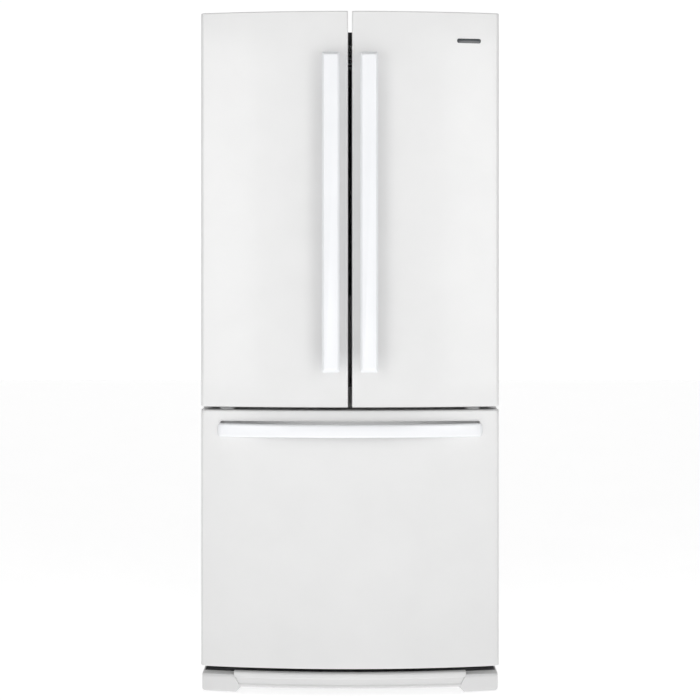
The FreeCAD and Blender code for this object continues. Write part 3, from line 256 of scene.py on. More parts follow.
WHITE = (0.79, 0.79, 0.788)
MAT = {
    "white_enamel": moulded("white_enamel", WHITE, 0.30, 620.0, 0.00002, 0.04, coat=0.25),
    "white_handle": moulded("white_handle", (0.89, 0.90, 0.92), 0.22, 900.0, 0.00003, coat=0.4),
    "white_cabinet_enamel": pebbled_enamel(),
    "white_plastic": moulded("white_plastic", (0.77, 0.77, 0.77), 0.42, 1100.0, 0.00008),
    "hinge_paint": moulded("hinge_paint", (0.74, 0.74, 0.74), 0.38, 700.0, 0.00006),
    "white_liner": moulded("white_liner", (0.83, 0.84, 0.845), 0.36, 800.0, 0.00006, coat=0.1),
    "seal": moulded("seal", (0.72, 0.72, 0.715), 0.62, 700.0, 0.0001),
    "grey_trim": moulded("grey_trim", (0.26, 0.26, 0.27), 0.5, 900.0, 0.00008),
    "black_plastic": moulded("black_plastic", (0.022, 0.022, 0.024), 0.48, 900.0, 0.0001),
    "galvanised_steel": galvanised(),
    "basket_wire": moulded("basket_wire", (0.80, 0.80, 0.80), 0.35, 500.0, 0.00008, coat=0.3),
    "coil_aluminium": bright_metal("coil_aluminium", (0.80, 0.81, 0.82), 0.32, (1, 1, 0.05)),
    "fan_motor_metal": bright_metal("fan_motor_metal", (0.40, 0.40, 0.41), 0.42, (1, 0.1, 1)),
    "screw_metal": bright_metal("screw_metal", (0.70, 0.69, 0.67), 0.34, (1, 1, 1)),
    "compressor_black": dark_enamel("compressor_black", 0.012, 0.28),
    "condenser_steel": dark_enamel("condenser_steel", 0.016, 0.45),
    "clear_plastic": clear_plastic(),
    "frosted_lens": frosted_plastic(),
    "shelf_glass": shelf_glass(),
    "foam": foam(),
    "dark_panel": moulded("dark_panel", (0.05, 0.055, 0.06), 0.16, 900.0, 0.00002, coat=0.5),
}


def finish_cad_nodes():
    """Gives every carried-over CAD node the material of its slot."""
    for part in frame["record"]["subparts"]:
        node = NODES[part["node"]]
        node.data.materials.clear()
        node.data.materials.append(MAT[part["material_slot"]])


# ------------------------------------------------------------------ mesh helpers
def make_piece(name, verts, faces, body, slot, material=None, replaces=(), soft_edge=0.0, angle=32.0):
    """A mesh piece in the row frame that rides on a body."""
    mesh = bpy.data.meshes.new(name)
    mesh.from_pydata([tuple(v) for v in verts], [], faces)
    mesh.validate()
    mesh.update()
    obj = bpy.data.objects.new(name, mesh)
    bpy.context.scene.collection.objects.link(obj)
    mesh.materials.append(MAT[material or slot])
    mesh.shade_smooth()
    mesh.set_sharp_from_angle(angle=math.radians(angle))
    if soft_edge:
        bevel = obj.modifiers.new("soft_edge", "BEVEL")
        bevel.width = soft_edge
        bevel.segments = 2
        bevel.limit_method = "ANGLE"
        bevel.angle_limit = math.radians(angle)
    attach(obj, body)
    if replaces:
        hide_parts(*replaces)
    return obj


class Shape:
    """Vertices and faces of one or more solids, collected before they become a piece."""

    def __init__(self):
        self.verts = []
        self.faces = []

    def add(self, verts, faces):
        start = len(self.verts)
        self.verts.extend(Vector(v) for v in verts)
        self.faces.extend([tuple(i + start for i in f) for f in faces])
        return self

    def loft(self, rings, closed=False, caps=(True, True)):
        """Skins rings that have the same number of points. Caps close the first and the last ring."""
        count = len(rings[0])
        verts = [p for ring in rings for p in ring]
        faces = []
        last = len(rings) if closed else len(rings) - 1
        for k in range(last):
            a, b = k * count, ((k + 1) % len(rings)) * count
            for i in range(count):
                j = (i + 1) % count
                faces.append((a + i, a + j, b + j, b + i))
        if not closed and caps[0]:
            faces.append(tuple(reversed(range(count))))
        if not closed and caps[1]:
            faces.append(tuple((len(rings) - 1) * count + i for i in range(count)))
        return self.add(verts, faces)

    def block(self, x0, x1, y0, y1, z0, z1):
        corners = [(x, y, z) for z in (z0, z1) for y in (y0, y1) for x in (x0, x1)]
        faces = [(0, 2, 3, 1), (4, 5, 7, 6), (0, 1, 5, 4), (2, 6, 7, 3), (0, 4, 6, 2), (1, 3, 7, 5)]
        return self.add(corners, faces)

    def mirrored(self):
        other = Shape()
        other.verts = [Vector((-v.x, v.y, v.z)) for v in self.verts]
        other.faces = [tuple(reversed(f)) for f in self.faces]
        return other

    def join(self, other):
        return self.add(other.verts, other.faces)

    def piece(self, name, body, slot, **options):
        return make_piece(name, self.verts, self.faces, body, slot, **options)


def round_rect(a0, a1, b0, b1, radius, steps=5):
    """Outline of a rectangle with rounded corners, counter-clockwise, as (a, b) points."""
    radius = max(radius, 1e-5)
    points = []
    centres = [(a1 - radius, b0 + radius, -90), (a1 - radius, b1 - radius, 0)]
    centres += [(a0 + radius, b1 - radius, 90), (a0 + radius, b0 + radius, 180)]
    for ca, cb, start in centres:
        for k in range(steps + 1):
            t = math.radians(start + 90 * k / steps)
            points.append((ca + radius * math.cos(t), cb + radius * math.sin(t)))
    return points


def quarter(radius, steps=4):
    """(inwards, along) pairs of a quarter circle, from an edge's side to its face."""
    pairs = []
    for k in range(steps + 1):
        t = math.radians(90 * k / steps)
        pairs.append((radius * (1 - math.cos(t)), radius * (1 - math.sin(t))))
    return pairs


def spaced(a, b, count):
    return [a + (b - a) * k / count for k in range(count + 1)]


def tube_rings(points, radius, sides=10, closed=False):
    """Rings of a round wire along a list of points, without twist."""
    points = [Vector(p) for p in points]
    count = len(points)
    rings, normal = [], None
    for k, p in enumerate(points):
        before = points[k - 1] if closed or k else points[k]
        after = points[(k + 1) % count] if closed or k < count - 1 else points[k]
        along = (after - before).normalized()
        if normal is None:
            helper = Vector((0, 0, 1)) if abs(along.z) < 0.9 else Vector((1, 0, 0))
            normal = along.cross(helper).normalized()
        normal = (normal - along * normal.dot(along)).normalized()
        other = along.cross(normal)
        ring = []
        for i in range(sides):
            t = 2 * math.pi * i / sides
            ring.append(p + normal * (radius * math.cos(t)) + other * (radius * math.sin(t)))
        rings.append(ring)
    return rings


def wire(shape, points, radius, closed=False, sides=10):
    return shape.loft(tube_rings(points, radius, sides, closed), closed=closed)


def bent(corners, radius, steps=5):
    """A path of straight runs with its corners rounded."""
    corners = [Vector(c) for c in corners]
    path = [corners[0]]
    for a, b, c in zip(corners, corners[1:], corners[2:]):
        into, out = (b - a).normalized(), (c - b).normalized()
        turn = into.angle(out)
        cut = radius * math.tan(turn / 2)
        centre = b + (out - into).normalized() * (radius / math.cos(turn / 2))
        start = b - into * cut
        axis = into.cross(out).normalized()
        arm = start - centre
        for k in range(steps + 1):
            t = turn * k / steps
            path.append(centre + arm * math.cos(t) + axis.cross(arm) * math.sin(t))
    path.append(corners[-1])
    return path


# ------------------------------------------------------------------ doors
CORNER_R = 9 * MM
GAP_R = 5 * MM
EDGE_R = 5 * MM


def rounded_stations(start, end, r_start, r_end, count, steps=6):
    """Places along an edge-to-edge line, with how far back the face is there because of the rounding."""
    first = [(start + d, drop) for d, drop in quarter(r_start, steps)]
    last = [(end - d, drop) for d, drop in reversed(quarter(r_end, steps))]
    middle = [(p, 0.0) for p in spaced(start + r_start, end - r_end, count)[1:-1]]
    return first + middle + last


def front_skin(name, node, r_left, r_right, body, mouth=None):
    """Painted front of a door: a crowned sheet with rounded edges, wrapped back to the liner."""
    lo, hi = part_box(node)
    across = rounded_stations(lo.x, hi.x, r_left, r_right, 30)
    up = rounded_stations(lo.z, hi.z, EDGE_R, EDGE_R, 14)
    if mouth:
        across = with_stations(across, mouth[0], mouth[1])
        up = with_stations(up, mouth[2], mouth[3])
    shape = Shape()
    verts = [(x, crown_y(x) + dx + dz, z) for z, dz in up for x, dx in across]
    columns, rows = len(across), len(up)
    faces = []
    for r in range(rows - 1):
        for c in range(columns - 1):
            x, z = (across[c][0] + across[c + 1][0]) / 2, (up[r][0] + up[r + 1][0]) / 2
            if mouth and mouth[0] < x < mouth[1] and mouth[2] < z < mouth[3]:
                continue
            i = r * columns + c
            faces.append((i, i + 1, i + 1 + columns, i + columns))
    shape.add(verts, faces)
    rim = list(range(columns)) + [r * columns + columns - 1 for r in range(1, rows)]
    rim += [(rows - 1) * columns + c for c in range(columns - 2, -1, -1)]
    rim += [r * columns for r in range(rows - 2, 0, -1)]
    start = len(shape.verts)
    shape.verts.extend(Vector((shape.verts[i].x, DOOR_BACK_Y, shape.verts[i].z)) for i in rim)
    count = len(rim)
    for i in range(count):
        j = (i + 1) % count
        shape.faces.append((rim[j], rim[i], start + i, start + j))
    obj = shape.piece(name, body, "white_enamel", replaces=[node], angle=40)
    shell = obj.modifiers.new("sheet", "SOLIDIFY")
    shell.thickness = SHEET
    shell.offset = -1
    soft = obj.modifiers.new("folds", "BEVEL")
    soft.width = 0.5 * MM
    soft.segments = 2
    soft.limit_method = "ANGLE"
    soft.angle_limit = math.radians(45)
    return obj


def with_stations(stations, *places):
    """Adds flat stations at given places, and drops those that would lie too close to them."""
    kept = [s for s in stations if s[1] > 0 or min(abs(s[0] - p) for p in places) > 2 * MM]
    return sorted(kept + [(p, 0.0) for p in places])


def liner_rings(door, ridge, ridge_y, plate_y):
    """Outlines of a door's formed liner, from its outer edge over the ridge to the flat middle."""
    def ring(box, inset, radius, y):
        c0, c1, d0, d1 = box
        return [(a, y, b) for a, b in round_rect(c0 + inset, c1 - inset, d0 + inset, d1 - inset, radius)]

    rings = [
        ring(door, 0, 4 * MM, plate_y - WALL),
        ring(door, 0, 4 * MM, plate_y - 0.6 * MM),
        ring(door, 0.6 * MM, 4 * MM, plate_y),
        ring(ridge, -4 * MM, 12 * MM, plate_y),
    ]
    for inward, along in quarter(4 * MM, 4)[::-1]:
        rings.append(ring(ridge, -inward, 10 * MM, plate_y + 4 * MM - along))
    for inward, along in quarter(5 * MM, 5):
        rings.append(ring(ridge, inward, 10 * MM, ridge_y - along))
    width = 16 * MM
    for inward, along in quarter(5 * MM, 5)[::-1]:
        rings.append(ring(ridge, width - inward, 6 * MM, ridge_y - along))
    for inward, along in quarter(6 * MM, 4):
        rings.append(ring(ridge, width + inward, 9 * MM, plate_y + along))
    for inset, y in ((34, 0.0), (38, 1.6), (40, 2.2), (44, 2.4)):
        rings.append(ring(ridge, inset * MM, 10 * MM, plate_y + y * MM))
    return rings


def door_liner(name, node, ridge, body, extra=None):
    lo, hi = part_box(node)
    rings = liner_rings((lo.x, hi.x, lo.z, hi.z), ridge, hi.y, DOOR_BACK_Y)
    shape = Shape()
    shape.loft([[(x, y, z) for x, y, z in reversed(r)] for r in rings], caps=(False, True))
    if extra:
        shape.join(extra)
    return shape.piece(name, body, "white_liner", replaces=[node], angle=50)


def gasket(name, node, body):
    """Magnetic seal: an arrow-shaped root, two bellows folds and a flat magnet sleeve."""
    lo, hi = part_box(node)
    depth = hi.y - lo.y
    section = [
        (3.5, 0.0), (3.5, 0.14), (1.4, 0.20), (0.6, 0.28), (2.4, 0.36), (0.9, 0.44), (0.0, 0.54), (0.0, 0.84),
        (0.7, 0.94), (2.4, 1.0), (8.5, 0.985), (14.6, 1.0), (16.3, 0.94), (17.0, 0.84), (17.0, 0.54),
        (16.1, 0.44), (14.6, 0.36), (16.4, 0.28), (15.6, 0.20), (13.5, 0.14), (13.5, 0.0),
    ]
    rings = []
    for inset, share in section:
        i = inset * MM
        outline = round_rect(lo.x + i, hi.x - i, lo.z + i, hi.z - i, 1.5 * MM, 2)
        rings.append([(a, lo.y + depth * share, b) for a, b in outline])
    shape = Shape().loft(rings, closed=True)
    return shape.piece(name, body, "seal", replaces=[node], angle=60)


def bar_handle(name, node, body):
    """Long flat handle with bevelled flanks, and a post at each end that meets the curved door."""
    lo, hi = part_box(node)
    x = (lo.x + hi.x) / 2
    half = (hi.x - lo.x) / 2
    front, back = lo.y, lo.y + 17 * MM
    sections = [  # (inset at the flanks, inset at the ends, depth behind the face, corner radius)
        (1.5, 1.5, 17.0, 3.0), (0.4, 0.4, 16.4, 3.2), (0.0, 0.0, 15.0, 3.4), (0.0, 0.0, 11.6, 3.4),
        (0.25, 0.35, 10.6, 3.6), (0.9, 1.3, 9.3, 3.8), (4.4, 6.6, 2.2, 4.0), (5.1, 7.8, 1.1, 4.2),
        (6.0, 9.1, 0.35, 4.4), (7.2, 10.4, 0.0, 4.6),
    ]
    rings = []
    for flank, end, depth, radius in sections:
        outline = round_rect(
            x - half + flank * MM, x + half - flank * MM, lo.z + end * MM, hi.z - end * MM, radius * MM, 4
        )
        rings.append([(a, front + depth * MM, b) for a, b in outline])
    shape = Shape().loft(rings)
    reach = half - 4 * MM
    for z0, z1 in ((lo.z + 4 * MM, lo.z + 48 * MM), (hi.z - 48 * MM, hi.z - 4 * MM)):
        rings = []
        for flare, share in ((0.0, 0.0), (0.0, 0.55), (0.5, 0.8), (1.4, 0.93), (2.6, 1.0)):
            outline = round_rect(x - reach - flare * MM, x + reach + flare * MM, z0 - flare * MM, z1, 6 * MM)
            rings.append(
                [(a, back - 1 * MM + (crown_y(a) + 0.1 * MM - back + 1 * MM) * share, b) for a, b in outline]
            )
        shape.loft([list(reversed(r)) for r in rings])
    return shape.piece(name, body, "white_handle", replaces=[node], angle=28)


BOW_HEIGHT = 34 * MM
POCKET = (-327 * MM, 327 * MM, low("freezer_drawer_handle").z + 2.5 * MM, high("freezer_drawer_handle").z)
POCKET_DEPTH = 16 * MM


def bow_handle():
    """Bowed handle of the freezer drawer, rounded all round and blended into the front at its ends."""
    lo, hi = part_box("freezer_drawer_handle")
    half = hi.x
    end_y = crown_y(half) - 7 * MM
    sag = end_y - lo.y
    radius = (half**2 + sag**2) / (2 * sag)
    root_y = end_y + 20 * MM
    inner_front = lo.y + 14 * MM
    inner_sag = root_y - inner_front
    inner_radius = (half**2 + inner_sag**2) / (2 * inner_sag)
    tall = BOW_HEIGHT / 2
    tip = 11 * MM  # rounding of the ends as seen from the front
    stations = []
    for k in range(9):
        t = math.radians(90 * k / 8)
        stations.append((-half + tip * (1 - math.cos(t)), 1 - tip / tall * (1 - math.sin(t))))
    stations += [(x, 1.0) for x in spaced(-half + tip, half - tip, 72)[1:-1]]
    stations += [(-x, share) for x, share in reversed(stations[:9])]
    rings = []
    for x, share in stations:
        y0 = lo.y + radius - math.sqrt(radius**2 - x * x)
        y1 = inner_front + inner_radius - math.sqrt(inner_radius**2 - x * x)
        if abs(x) > POCKET[1] - 3 * MM:
            y1 = min(y1, crown_y(x) - 0.6 * MM)
        y0 += 5 * MM * max(0.0, (abs(x) - half + tip) / tip) ** 2
        arch = 2.5 * MM * (1 - (x / half) ** 2)  # the underside is a little higher in the middle
        mid, h = lo.z + tall + arch / 2, (tall - arch / 2) * share
        r = min(5.5 * MM, h * 0.6, (y1 - y0) * 0.45)
        outline = round_rect(y0, y1, mid - h, mid + h, r, 5)
        rings.append([(x, y, z) for y, z in outline])
    shape = Shape().loft(rings)
    return shape.piece(
        "drawer_pull", "freezer_drawer", "white_handle", replaces=["freezer_drawer_handle"], angle=40
    )


def finger_pocket():
    """Shallow moulded pocket behind the drawer's handle, and the posts that carry the handle's ends."""
    x0, x1, z0, z1 = POCKET
    rings = []
    deep = POCKET_DEPTH / MM
    sections = [  # (inset, depth behind the front, corner radius)
        (0.4, deep + 1.6, 5.0), (0.2, 8.0, 4.4), (0.2, 0.3, 4.0), (-1.4, 0.1, 5.6), (-1.6, -0.25, 5.8),
        (-1.3, -0.5, 5.6), (0.6, -0.5, 4.4), (1.4, -0.1, 4.2), (1.8, 0.8, 4.2), (2.1, deep - 4, 5.0),
        (3.2, deep - 1.2, 5.5), (6.0, deep, 6.5), (12.0, deep, 5.0),
    ]
    for inset, depth, radius in sections:
        i = inset * MM
        outline = dense_rect(x0 + i, x1 - i, z0 + i, z1 - i, radius * MM, 48)
        rings.append([(a, crown_y(a, depth * MM), b) for a, b in outline])
    middle = (z0 + z1) / 2
    spines = [[(x, y, middle) for x, y, z in ring] for ring in (rings[0], rings[-1])]
    shape = Shape().loft([spines[0]] + rings + [spines[1]], caps=(False, False))
    for side in (-1, 1):
        a, b = sorted((side * 304 * MM, side * 324 * MM))
        front = crown_y(b, -2 * MM)
        back = crown_y(a, POCKET_DEPTH + 0.5 * MM)
        rings = []
        for grow, y in ((0.0, front), (0.0, back - 5 * MM), (1.0, back - 2 * MM), (3.0, back)):
            g = grow * MM
            outline = round_rect(a - g, min(b + g, x1), z0 + 2 * MM, z0 + 19 * MM + g, 3 * MM)
            rings.append([(x, y, z) for x, z in outline])
        shape.loft([list(reversed(r)) for r in rings])
    shape.piece("finger_pocket", "freezer_drawer", "white_handle", material="white_plastic", angle=45)


def badge():
    """Small blank nameplate at the top of the right door."""
    x0, x1, z0, z1 = 268 * MM, 328 * MM, 1638 * MM, 1649 * MM
    rings = []
    for inset, proud in ((0.0, -0.1), (0.0, 0.7), (0.25, 1.0), (0.7, 1.15)):
        outline = round_rect(x0 + inset * MM, x1 - inset * MM, z0 + inset * MM, z1 - inset * MM, 4.6 * MM)
        rings.append([(a, crown_y(a) - proud * MM, b) for a, b in outline])
    Shape().loft(rings).piece("blank_badge", "right_door", "grey_trim", material="dark_panel")


def end_caps(name, node, body):
    """Plastic caps let into the top and bottom of a door, with a moulded rim."""
    lo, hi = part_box(node)
    shape = Shape()
    inner = (lo.x + 5 * MM, hi.x - 5 * MM)
    for z, out in ((hi.z, 1), (lo.z, -1)):
        rings = []
        for inset, rise in ((0.0, -0.6), (0.0, 0.12), (0.5, 0.3), (2.5, 0.3), (3.0, 0.05)):
            i = inset * MM
            outline = []
            for a, b in round_rect(inner[0] + i, inner[1] - i, 0.0, 1.0, 0.02, 3):
                front = crown_y(a) + 13 * MM + i
                outline.append((a, front + (DOOR_BACK_Y - 4 * MM - i - front) * b, z + out * rise * MM))
            rings.append(outline if out > 0 else list(reversed(outline)))
        shape.loft(rings)
    return shape.piece(name, body, "white_enamel", material="white_plastic", angle=50)


RIDGE = (-321 * MM, -43 * MM, 781 * MM, 1638 * MM)
DRAWER_RIDGE = (-317 * MM, 317 * MM, 134 * MM, 667 * MM)
BINS = {level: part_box("left_%s_bin" % level) for level in ("lower", "middle", "upper")}


def bin_lugs():
    """Pairs of lugs on the ridge's inner sides that the bins hang on."""
    shape = Shape()
    x0, x1 = RIDGE[0] + 16 * MM, RIDGE[1] - 16 * MM
    for lo, _ in BINS.values():
        z0, z1 = lo.z + 45 * MM, lo.z + 70 * MM
        left_lug = ((0.0, x0 - 1 * MM), (0.0, x0 + 5 * MM - 1 * MM), (0.8, x0 + 5 * MM))
        right_lug = ((0.8, x1 - 5 * MM), (0.0, x1 - 5 * MM + 1 * MM), (0.0, x1 + 1 * MM))
        for lug in (left_lug, right_lug):
            rings = []
            for inset, x in lug:
                outline = round_rect(-278 * MM + inset * MM, -262 * MM - inset * MM, z0, z1, 3 * MM, 3)
                rings.append([(x, y, z) for y, z in outline])
            shape.loft(rings)
    return shape


def make_doors():
    for side, sign in (("left", 1), ("right", -1)):
        body = side + "_door"
        ridge = RIDGE if sign > 0 else (-RIDGE[1], -RIDGE[0], RIDGE[2], RIDGE[3])
        radii = (CORNER_R, GAP_R) if sign > 0 else (GAP_R, CORNER_R)
        front_skin(side + "_door_front", body + "_skin", *radii, body)
        lugs = bin_lugs() if sign > 0 else bin_lugs().mirrored()
        door_liner(side + "_inner_liner", body + "_liner", ridge, body, lugs)
        gasket(side + "_seal", body + "_gasket", body)
        bar_handle(side + "_pull", body + "_handle", body)
        end_caps(side + "_end_caps", body + "_skin", body)
    front_skin("drawer_front", "freezer_drawer_skin", CORNER_R, CORNER_R, "freezer_drawer", POCKET)
    door_liner("drawer_inner_liner", "freezer_drawer_liner", DRAWER_RIDGE, "freezer_drawer")
    gasket("drawer_seal", "freezer_drawer_gasket", "freezer_drawer")
    bow_handle()
    finger_pocket()
    badge()


# ------------------------------------------------------------------ base
def slanted_sweep(shape, profile, x_in, x_out, stations):
    """Sweeps a closed profile of (depth behind the crown, z) between two ends that depend on height."""
    rings = []
    for t in stations:
        ring = []
        for depth, z in profile:
            x = x_in(z) + (x_out(z) - x_in(z)) * t
            ring.append((x, crown_y(x, depth), z))
        rings.append(ring)
    return shape.loft(rings)


def smoothed(profile, radius):
    """Rounds the corners of a closed profile of (depth, z) points."""
    points = [Vector(p) for p in profile]
    result = []
    count = len(points)
    for k, b in enumerate(points):
        a, c = points[k - 1], points[(k + 1) % count]
        cut = min(radius, (b - a).length * 0.45, (c - b).length * 0.45)
        start, end = b + (a - b).normalized() * cut, b + (c - b).normalized() * cut
        for t in (0.0, 0.25, 0.5, 0.75, 1.0):
            result.append(tuple(start * (1 - t) ** 2 + b * (2 * t * (1 - t)) + end * t**2))
    return result


def make_grille():
    lo = low("base_grille")
    d = 12.0
    top, foot = 292 * MM, 275 * MM
    cover_top, cover_low, centre_low = 52 * MM, lo.z, 21.5 * MM

    def seam(z):
        if z >= cover_top:
            return top
        if z >= centre_low:
            return foot + (top - foot) * (z - centre_low) / (cover_top - centre_low)
        return foot + 12 * MM * (centre_low - z) / (centre_low - cover_low)

    # profiles of (depth behind the crown, height) in millimetres
    centre = [
        (d + 3, 21.5), (d, 24.5), (d, 28.5), (d + 2.6, 31.5), (d + 2.6, 46), (d, 49), (d, 57), (d + 3, 60),
        (d + 16, 60), (d + 16, 57.5), (d + 5.5, 57.5), (d + 5.2, 48), (d + 5.4, 31), (d + 5.2, 24),
        (d + 12, 23.5), (d + 12, 21.5),
    ]
    cover = [
        (d + 3, 8), (d, 11), (d, 19), (d, 22), (d, 46), (d + 4, 52), (d + 30, 52), (d + 30, 49.5),
        (d + 5.5, 49.5), (d + 2.8, 46), (d + 2.8, 22), (d + 2.8, 19), (d + 2.8, 11.5), (d + 5.5, 10.8),
        (d + 14, 10.8), (d + 14, 8),
    ]
    centre = smoothed([(a * MM, b * MM) for a, b in centre], 1.6 * MM)
    cover = smoothed([(a * MM, b * MM) for a, b in cover], 1.8 * MM)
    shape = Shape()
    slanted_sweep(shape, centre, lambda z: 0.1 * MM - seam(z), lambda z: seam(z) - 0.1 * MM, spaced(0, 1, 64))
    edge = HALF - 2 * MM

    def outside(z):
        drop = max(0.0, lo.z + 11 * MM - z)
        return -edge + 11 * MM * (1 - math.sqrt(max(0.0, 1 - (drop / (11 * MM)) ** 2)))

    toe = Shape()
    slanted_sweep(toe, cover, outside, lambda z: -seam(z), spaced(0, 1, 14))
    y = crown_y(edge, d * MM)
    toe.block(-edge, -edge + 2.4 * MM, y + 1 * MM, y + 62 * MM, lo.z + 11 * MM, cover_top - 0.5 * MM)
    shape.join(toe)
    shape.join(toe.mirrored())
    shape.piece(
        "toe_grille", "cabinet", "white_plastic", replaces=["base_grille"], angle=35, soft_edge=0.4 * MM
    )


def make_painted_gap_shade_baffle():
    """Black shelf behind the grille: its black is painted shade, standing in for the dark gap between the
    drawer and the grille.
    """
    shape = Shape()
    for x0, x1, depth, z in ((-290, 290, 20, 55.8), (-370, -284, 34, 47.6), (284, 370, 34, 47.6)):
        rings = []
        for x in spaced(x0 * MM, x1 * MM, 24):
            y0, y1 = crown_y(x, depth * MM), FLANGE_Y - 0.6 * MM
            z0, z1 = z * MM, (z + 1.5) * MM
            lip_y, lip_z = y1 - 1.5 * MM, z1 + 3 * MM
            section = [(y0, z0), (y1, z0), (y1, lip_z), (lip_y, lip_z), (lip_y, z1), (y0, z1)]
            rings.append([(x, y, height) for y, height in section])
        shape.loft(rings)
    # black piece that paints the shade seen in the gap under the drawer
    shape.piece("painted_gap_shade_baffle", "cabinet", "black_plastic", angle=40, soft_edge=0.3 * MM)


# ------------------------------------------------------------------ hinge covers and fasteners
def hinge_cover():
    """Moulded cover: it slopes down over the hinge arm in front and down to the cabinet behind."""
    lo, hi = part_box("top_hinge_covers")
    x0, x1 = lo.x, lo.x + 80 * MM
    y0, y1 = lo.y, hi.y
    step_y = -267 * MM  # the foot of the cover starts behind the doors' swing
    over_door = 1716.9 * MM
    roof_line = [(y0, 1720 * MM), (-300 * MM, hi.z), (-225 * MM, hi.z)]
    roof_line += [(-182 * MM, 1704 * MM), (y1, 1698 * MM)]

    def roof(y):
        for (ya, za), (yb, zb) in zip(roof_line, roof_line[1:]):
            if y <= yb:
                return za + (zb - za) * (y - ya) / (yb - ya)
        return roof_line[-1][1]

    wall = 0.8  # share of a cover's rise that is its upright wall
    rings = []
    for inset, share in ((0.0, 0.0), (0.0, wall), (0.4, 0.9), (1.2, 0.97), (2.6, 1.0), (14.0, 1.0)):
        i = inset * MM
        ring = []
        for x, y in dense_rect(x0 + i, x1 - i, y0 + i, y1 - i, max(2 * MM, 7 * MM - i / 2), 24):
            base = over_door if y < step_y else lo.z
            top = roof(y)
            edge = top - 3 * MM if top - base > 8 * MM else top - 0.3 * (top - base)
            if share <= wall:
                z = base + (edge - base) * share / wall
            else:
                z = edge + (top - edge) * (share - wall) / (1 - wall)
            ring.append((x, y, z))
        rings.append(ring)
    spines = [[((x0 + x1) / 2, y, z) for x, y, z in ring] for ring in (rings[0], rings[-1])]
    return Shape().loft([spines[0]] + rings + [spines[1]], caps=(False, False))


def dense_rect(a0, a1, b0, b1, radius, per_side):
    """Rounded rectangle with extra points along its straight sides."""
    corners = round_rect(a0, a1, b0, b1, radius, 4)
    points = []
    for k, p in enumerate(corners):
        points.append(p)
        if (k + 1) % 5 == 0:
            q = corners[(k + 1) % len(corners)]
            for s in range(1, per_side):
                t = s / per_side
                points.append((p[0] + (q[0] - p[0]) * t, p[1] + (q[1] - p[1]) * t))
    return points


def screw_head(shape, place, axis, radius, height):
    """Washer-head hex screw with a cross recess in its face."""
    place, axis = Vector(place), Vector(axis).normalized()
    helper = Vector((0, 0, 1)) if abs(axis.z) < 0.9 else Vector((1, 0, 0))
    u = axis.cross(helper).normalized()
    v = axis.cross(u)

    def ring(r, h, sides, turn=0.0):
        points = []
        for i in range(24):
            t = 2 * math.pi * i / 24
            if sides:
                sector = math.pi / sides
                local = ((t - turn) % (2 * sector)) - sector
                reach = r * math.cos(sector) / math.cos(local)
            else:
                reach = r
            points.append(place + u * (reach * math.cos(t)) + v * (reach * math.sin(t)) + axis * h)
        return points

    head = radius * 0.66
    rings = [ring(radius, 0, 0), ring(radius, height * 0.16, 0), ring(radius * 0.93, height * 0.28, 0)]
    rings += [ring(head, height * 0.32, 6), ring(head, height * 0.9, 6), ring(head * 0.9, height, 0)]
    rings += [ring(head * 0.42, height * 0.97, 4), ring(head * 0.2, height * 0.5, 4)]
    return shape.loft(rings)


def make_hinge_covers():
    left = hinge_cover()
    both = Shape().join(left).join(left.mirrored())
    both.piece("hinge_covers", "cabinet", "white_plastic", replaces=["top_hinge_covers"], angle=40)
    screws = Shape()
    for x in (-332 * MM, 332 * MM):
        screw_head(screws, (x, -250 * MM, high("top_hinge_covers").z - 1.6 * MM), (0, 0, 1), 4 * MM, 1.4 * MM)
    screws.piece("cover_screws", "cabinet", "galvanised_steel", material="screw_metal")


def make_rear_details():
    """Screws round the machine cover and along the back panel's sides."""
    lo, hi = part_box("rear_panels")
    face = hi.y - 1.6 * MM
    screws = Shape()
    cover_z = (lo.z + 12 * MM, 300 * MM)
    for x in spaced(-352 * MM, 352 * MM, 6):
        for z in cover_z:
            screw_head(screws, (x, face - 1 * MM, z), (0, 1, 0), 5 * MM, 2.2 * MM)
    for z in spaced(360 * MM, hi.z - 22 * MM, 6):
        for x in (-362 * MM, 362 * MM):
            screw_head(screws, (x, face, z), (0, 1, 0), 4.4 * MM, 1.6 * MM)
    screws.piece("rear_screws", "cabinet", "galvanised_steel", material="screw_metal")


def make_painted_flange_shade():
    """Dark plate in the middle of the cabinet's top rail, behind the gap between the doors: painted shade
    that makes the rail look dark where it shows through the gap.
    """
    top = high("cabinet_shell").z
    rings = []
    for inset, proud in ((0.0, -0.2), (0.0, 1.2), (0.5, 1.7)):
        half, under = (9.5 - inset) * MM, (0.4 + inset) * MM
        outline = round_rect(-half, half, top - 34 * MM, top - under, 2 * MM)
        rings.append([(x, FLANGE_Y - proud * MM, z) for x, z in outline])
    # black plate standing in for the shade deep in the gap between the doors
    Shape().loft(rings).piece("painted_flange_shade", "cabinet", "black_plastic", angle=40)


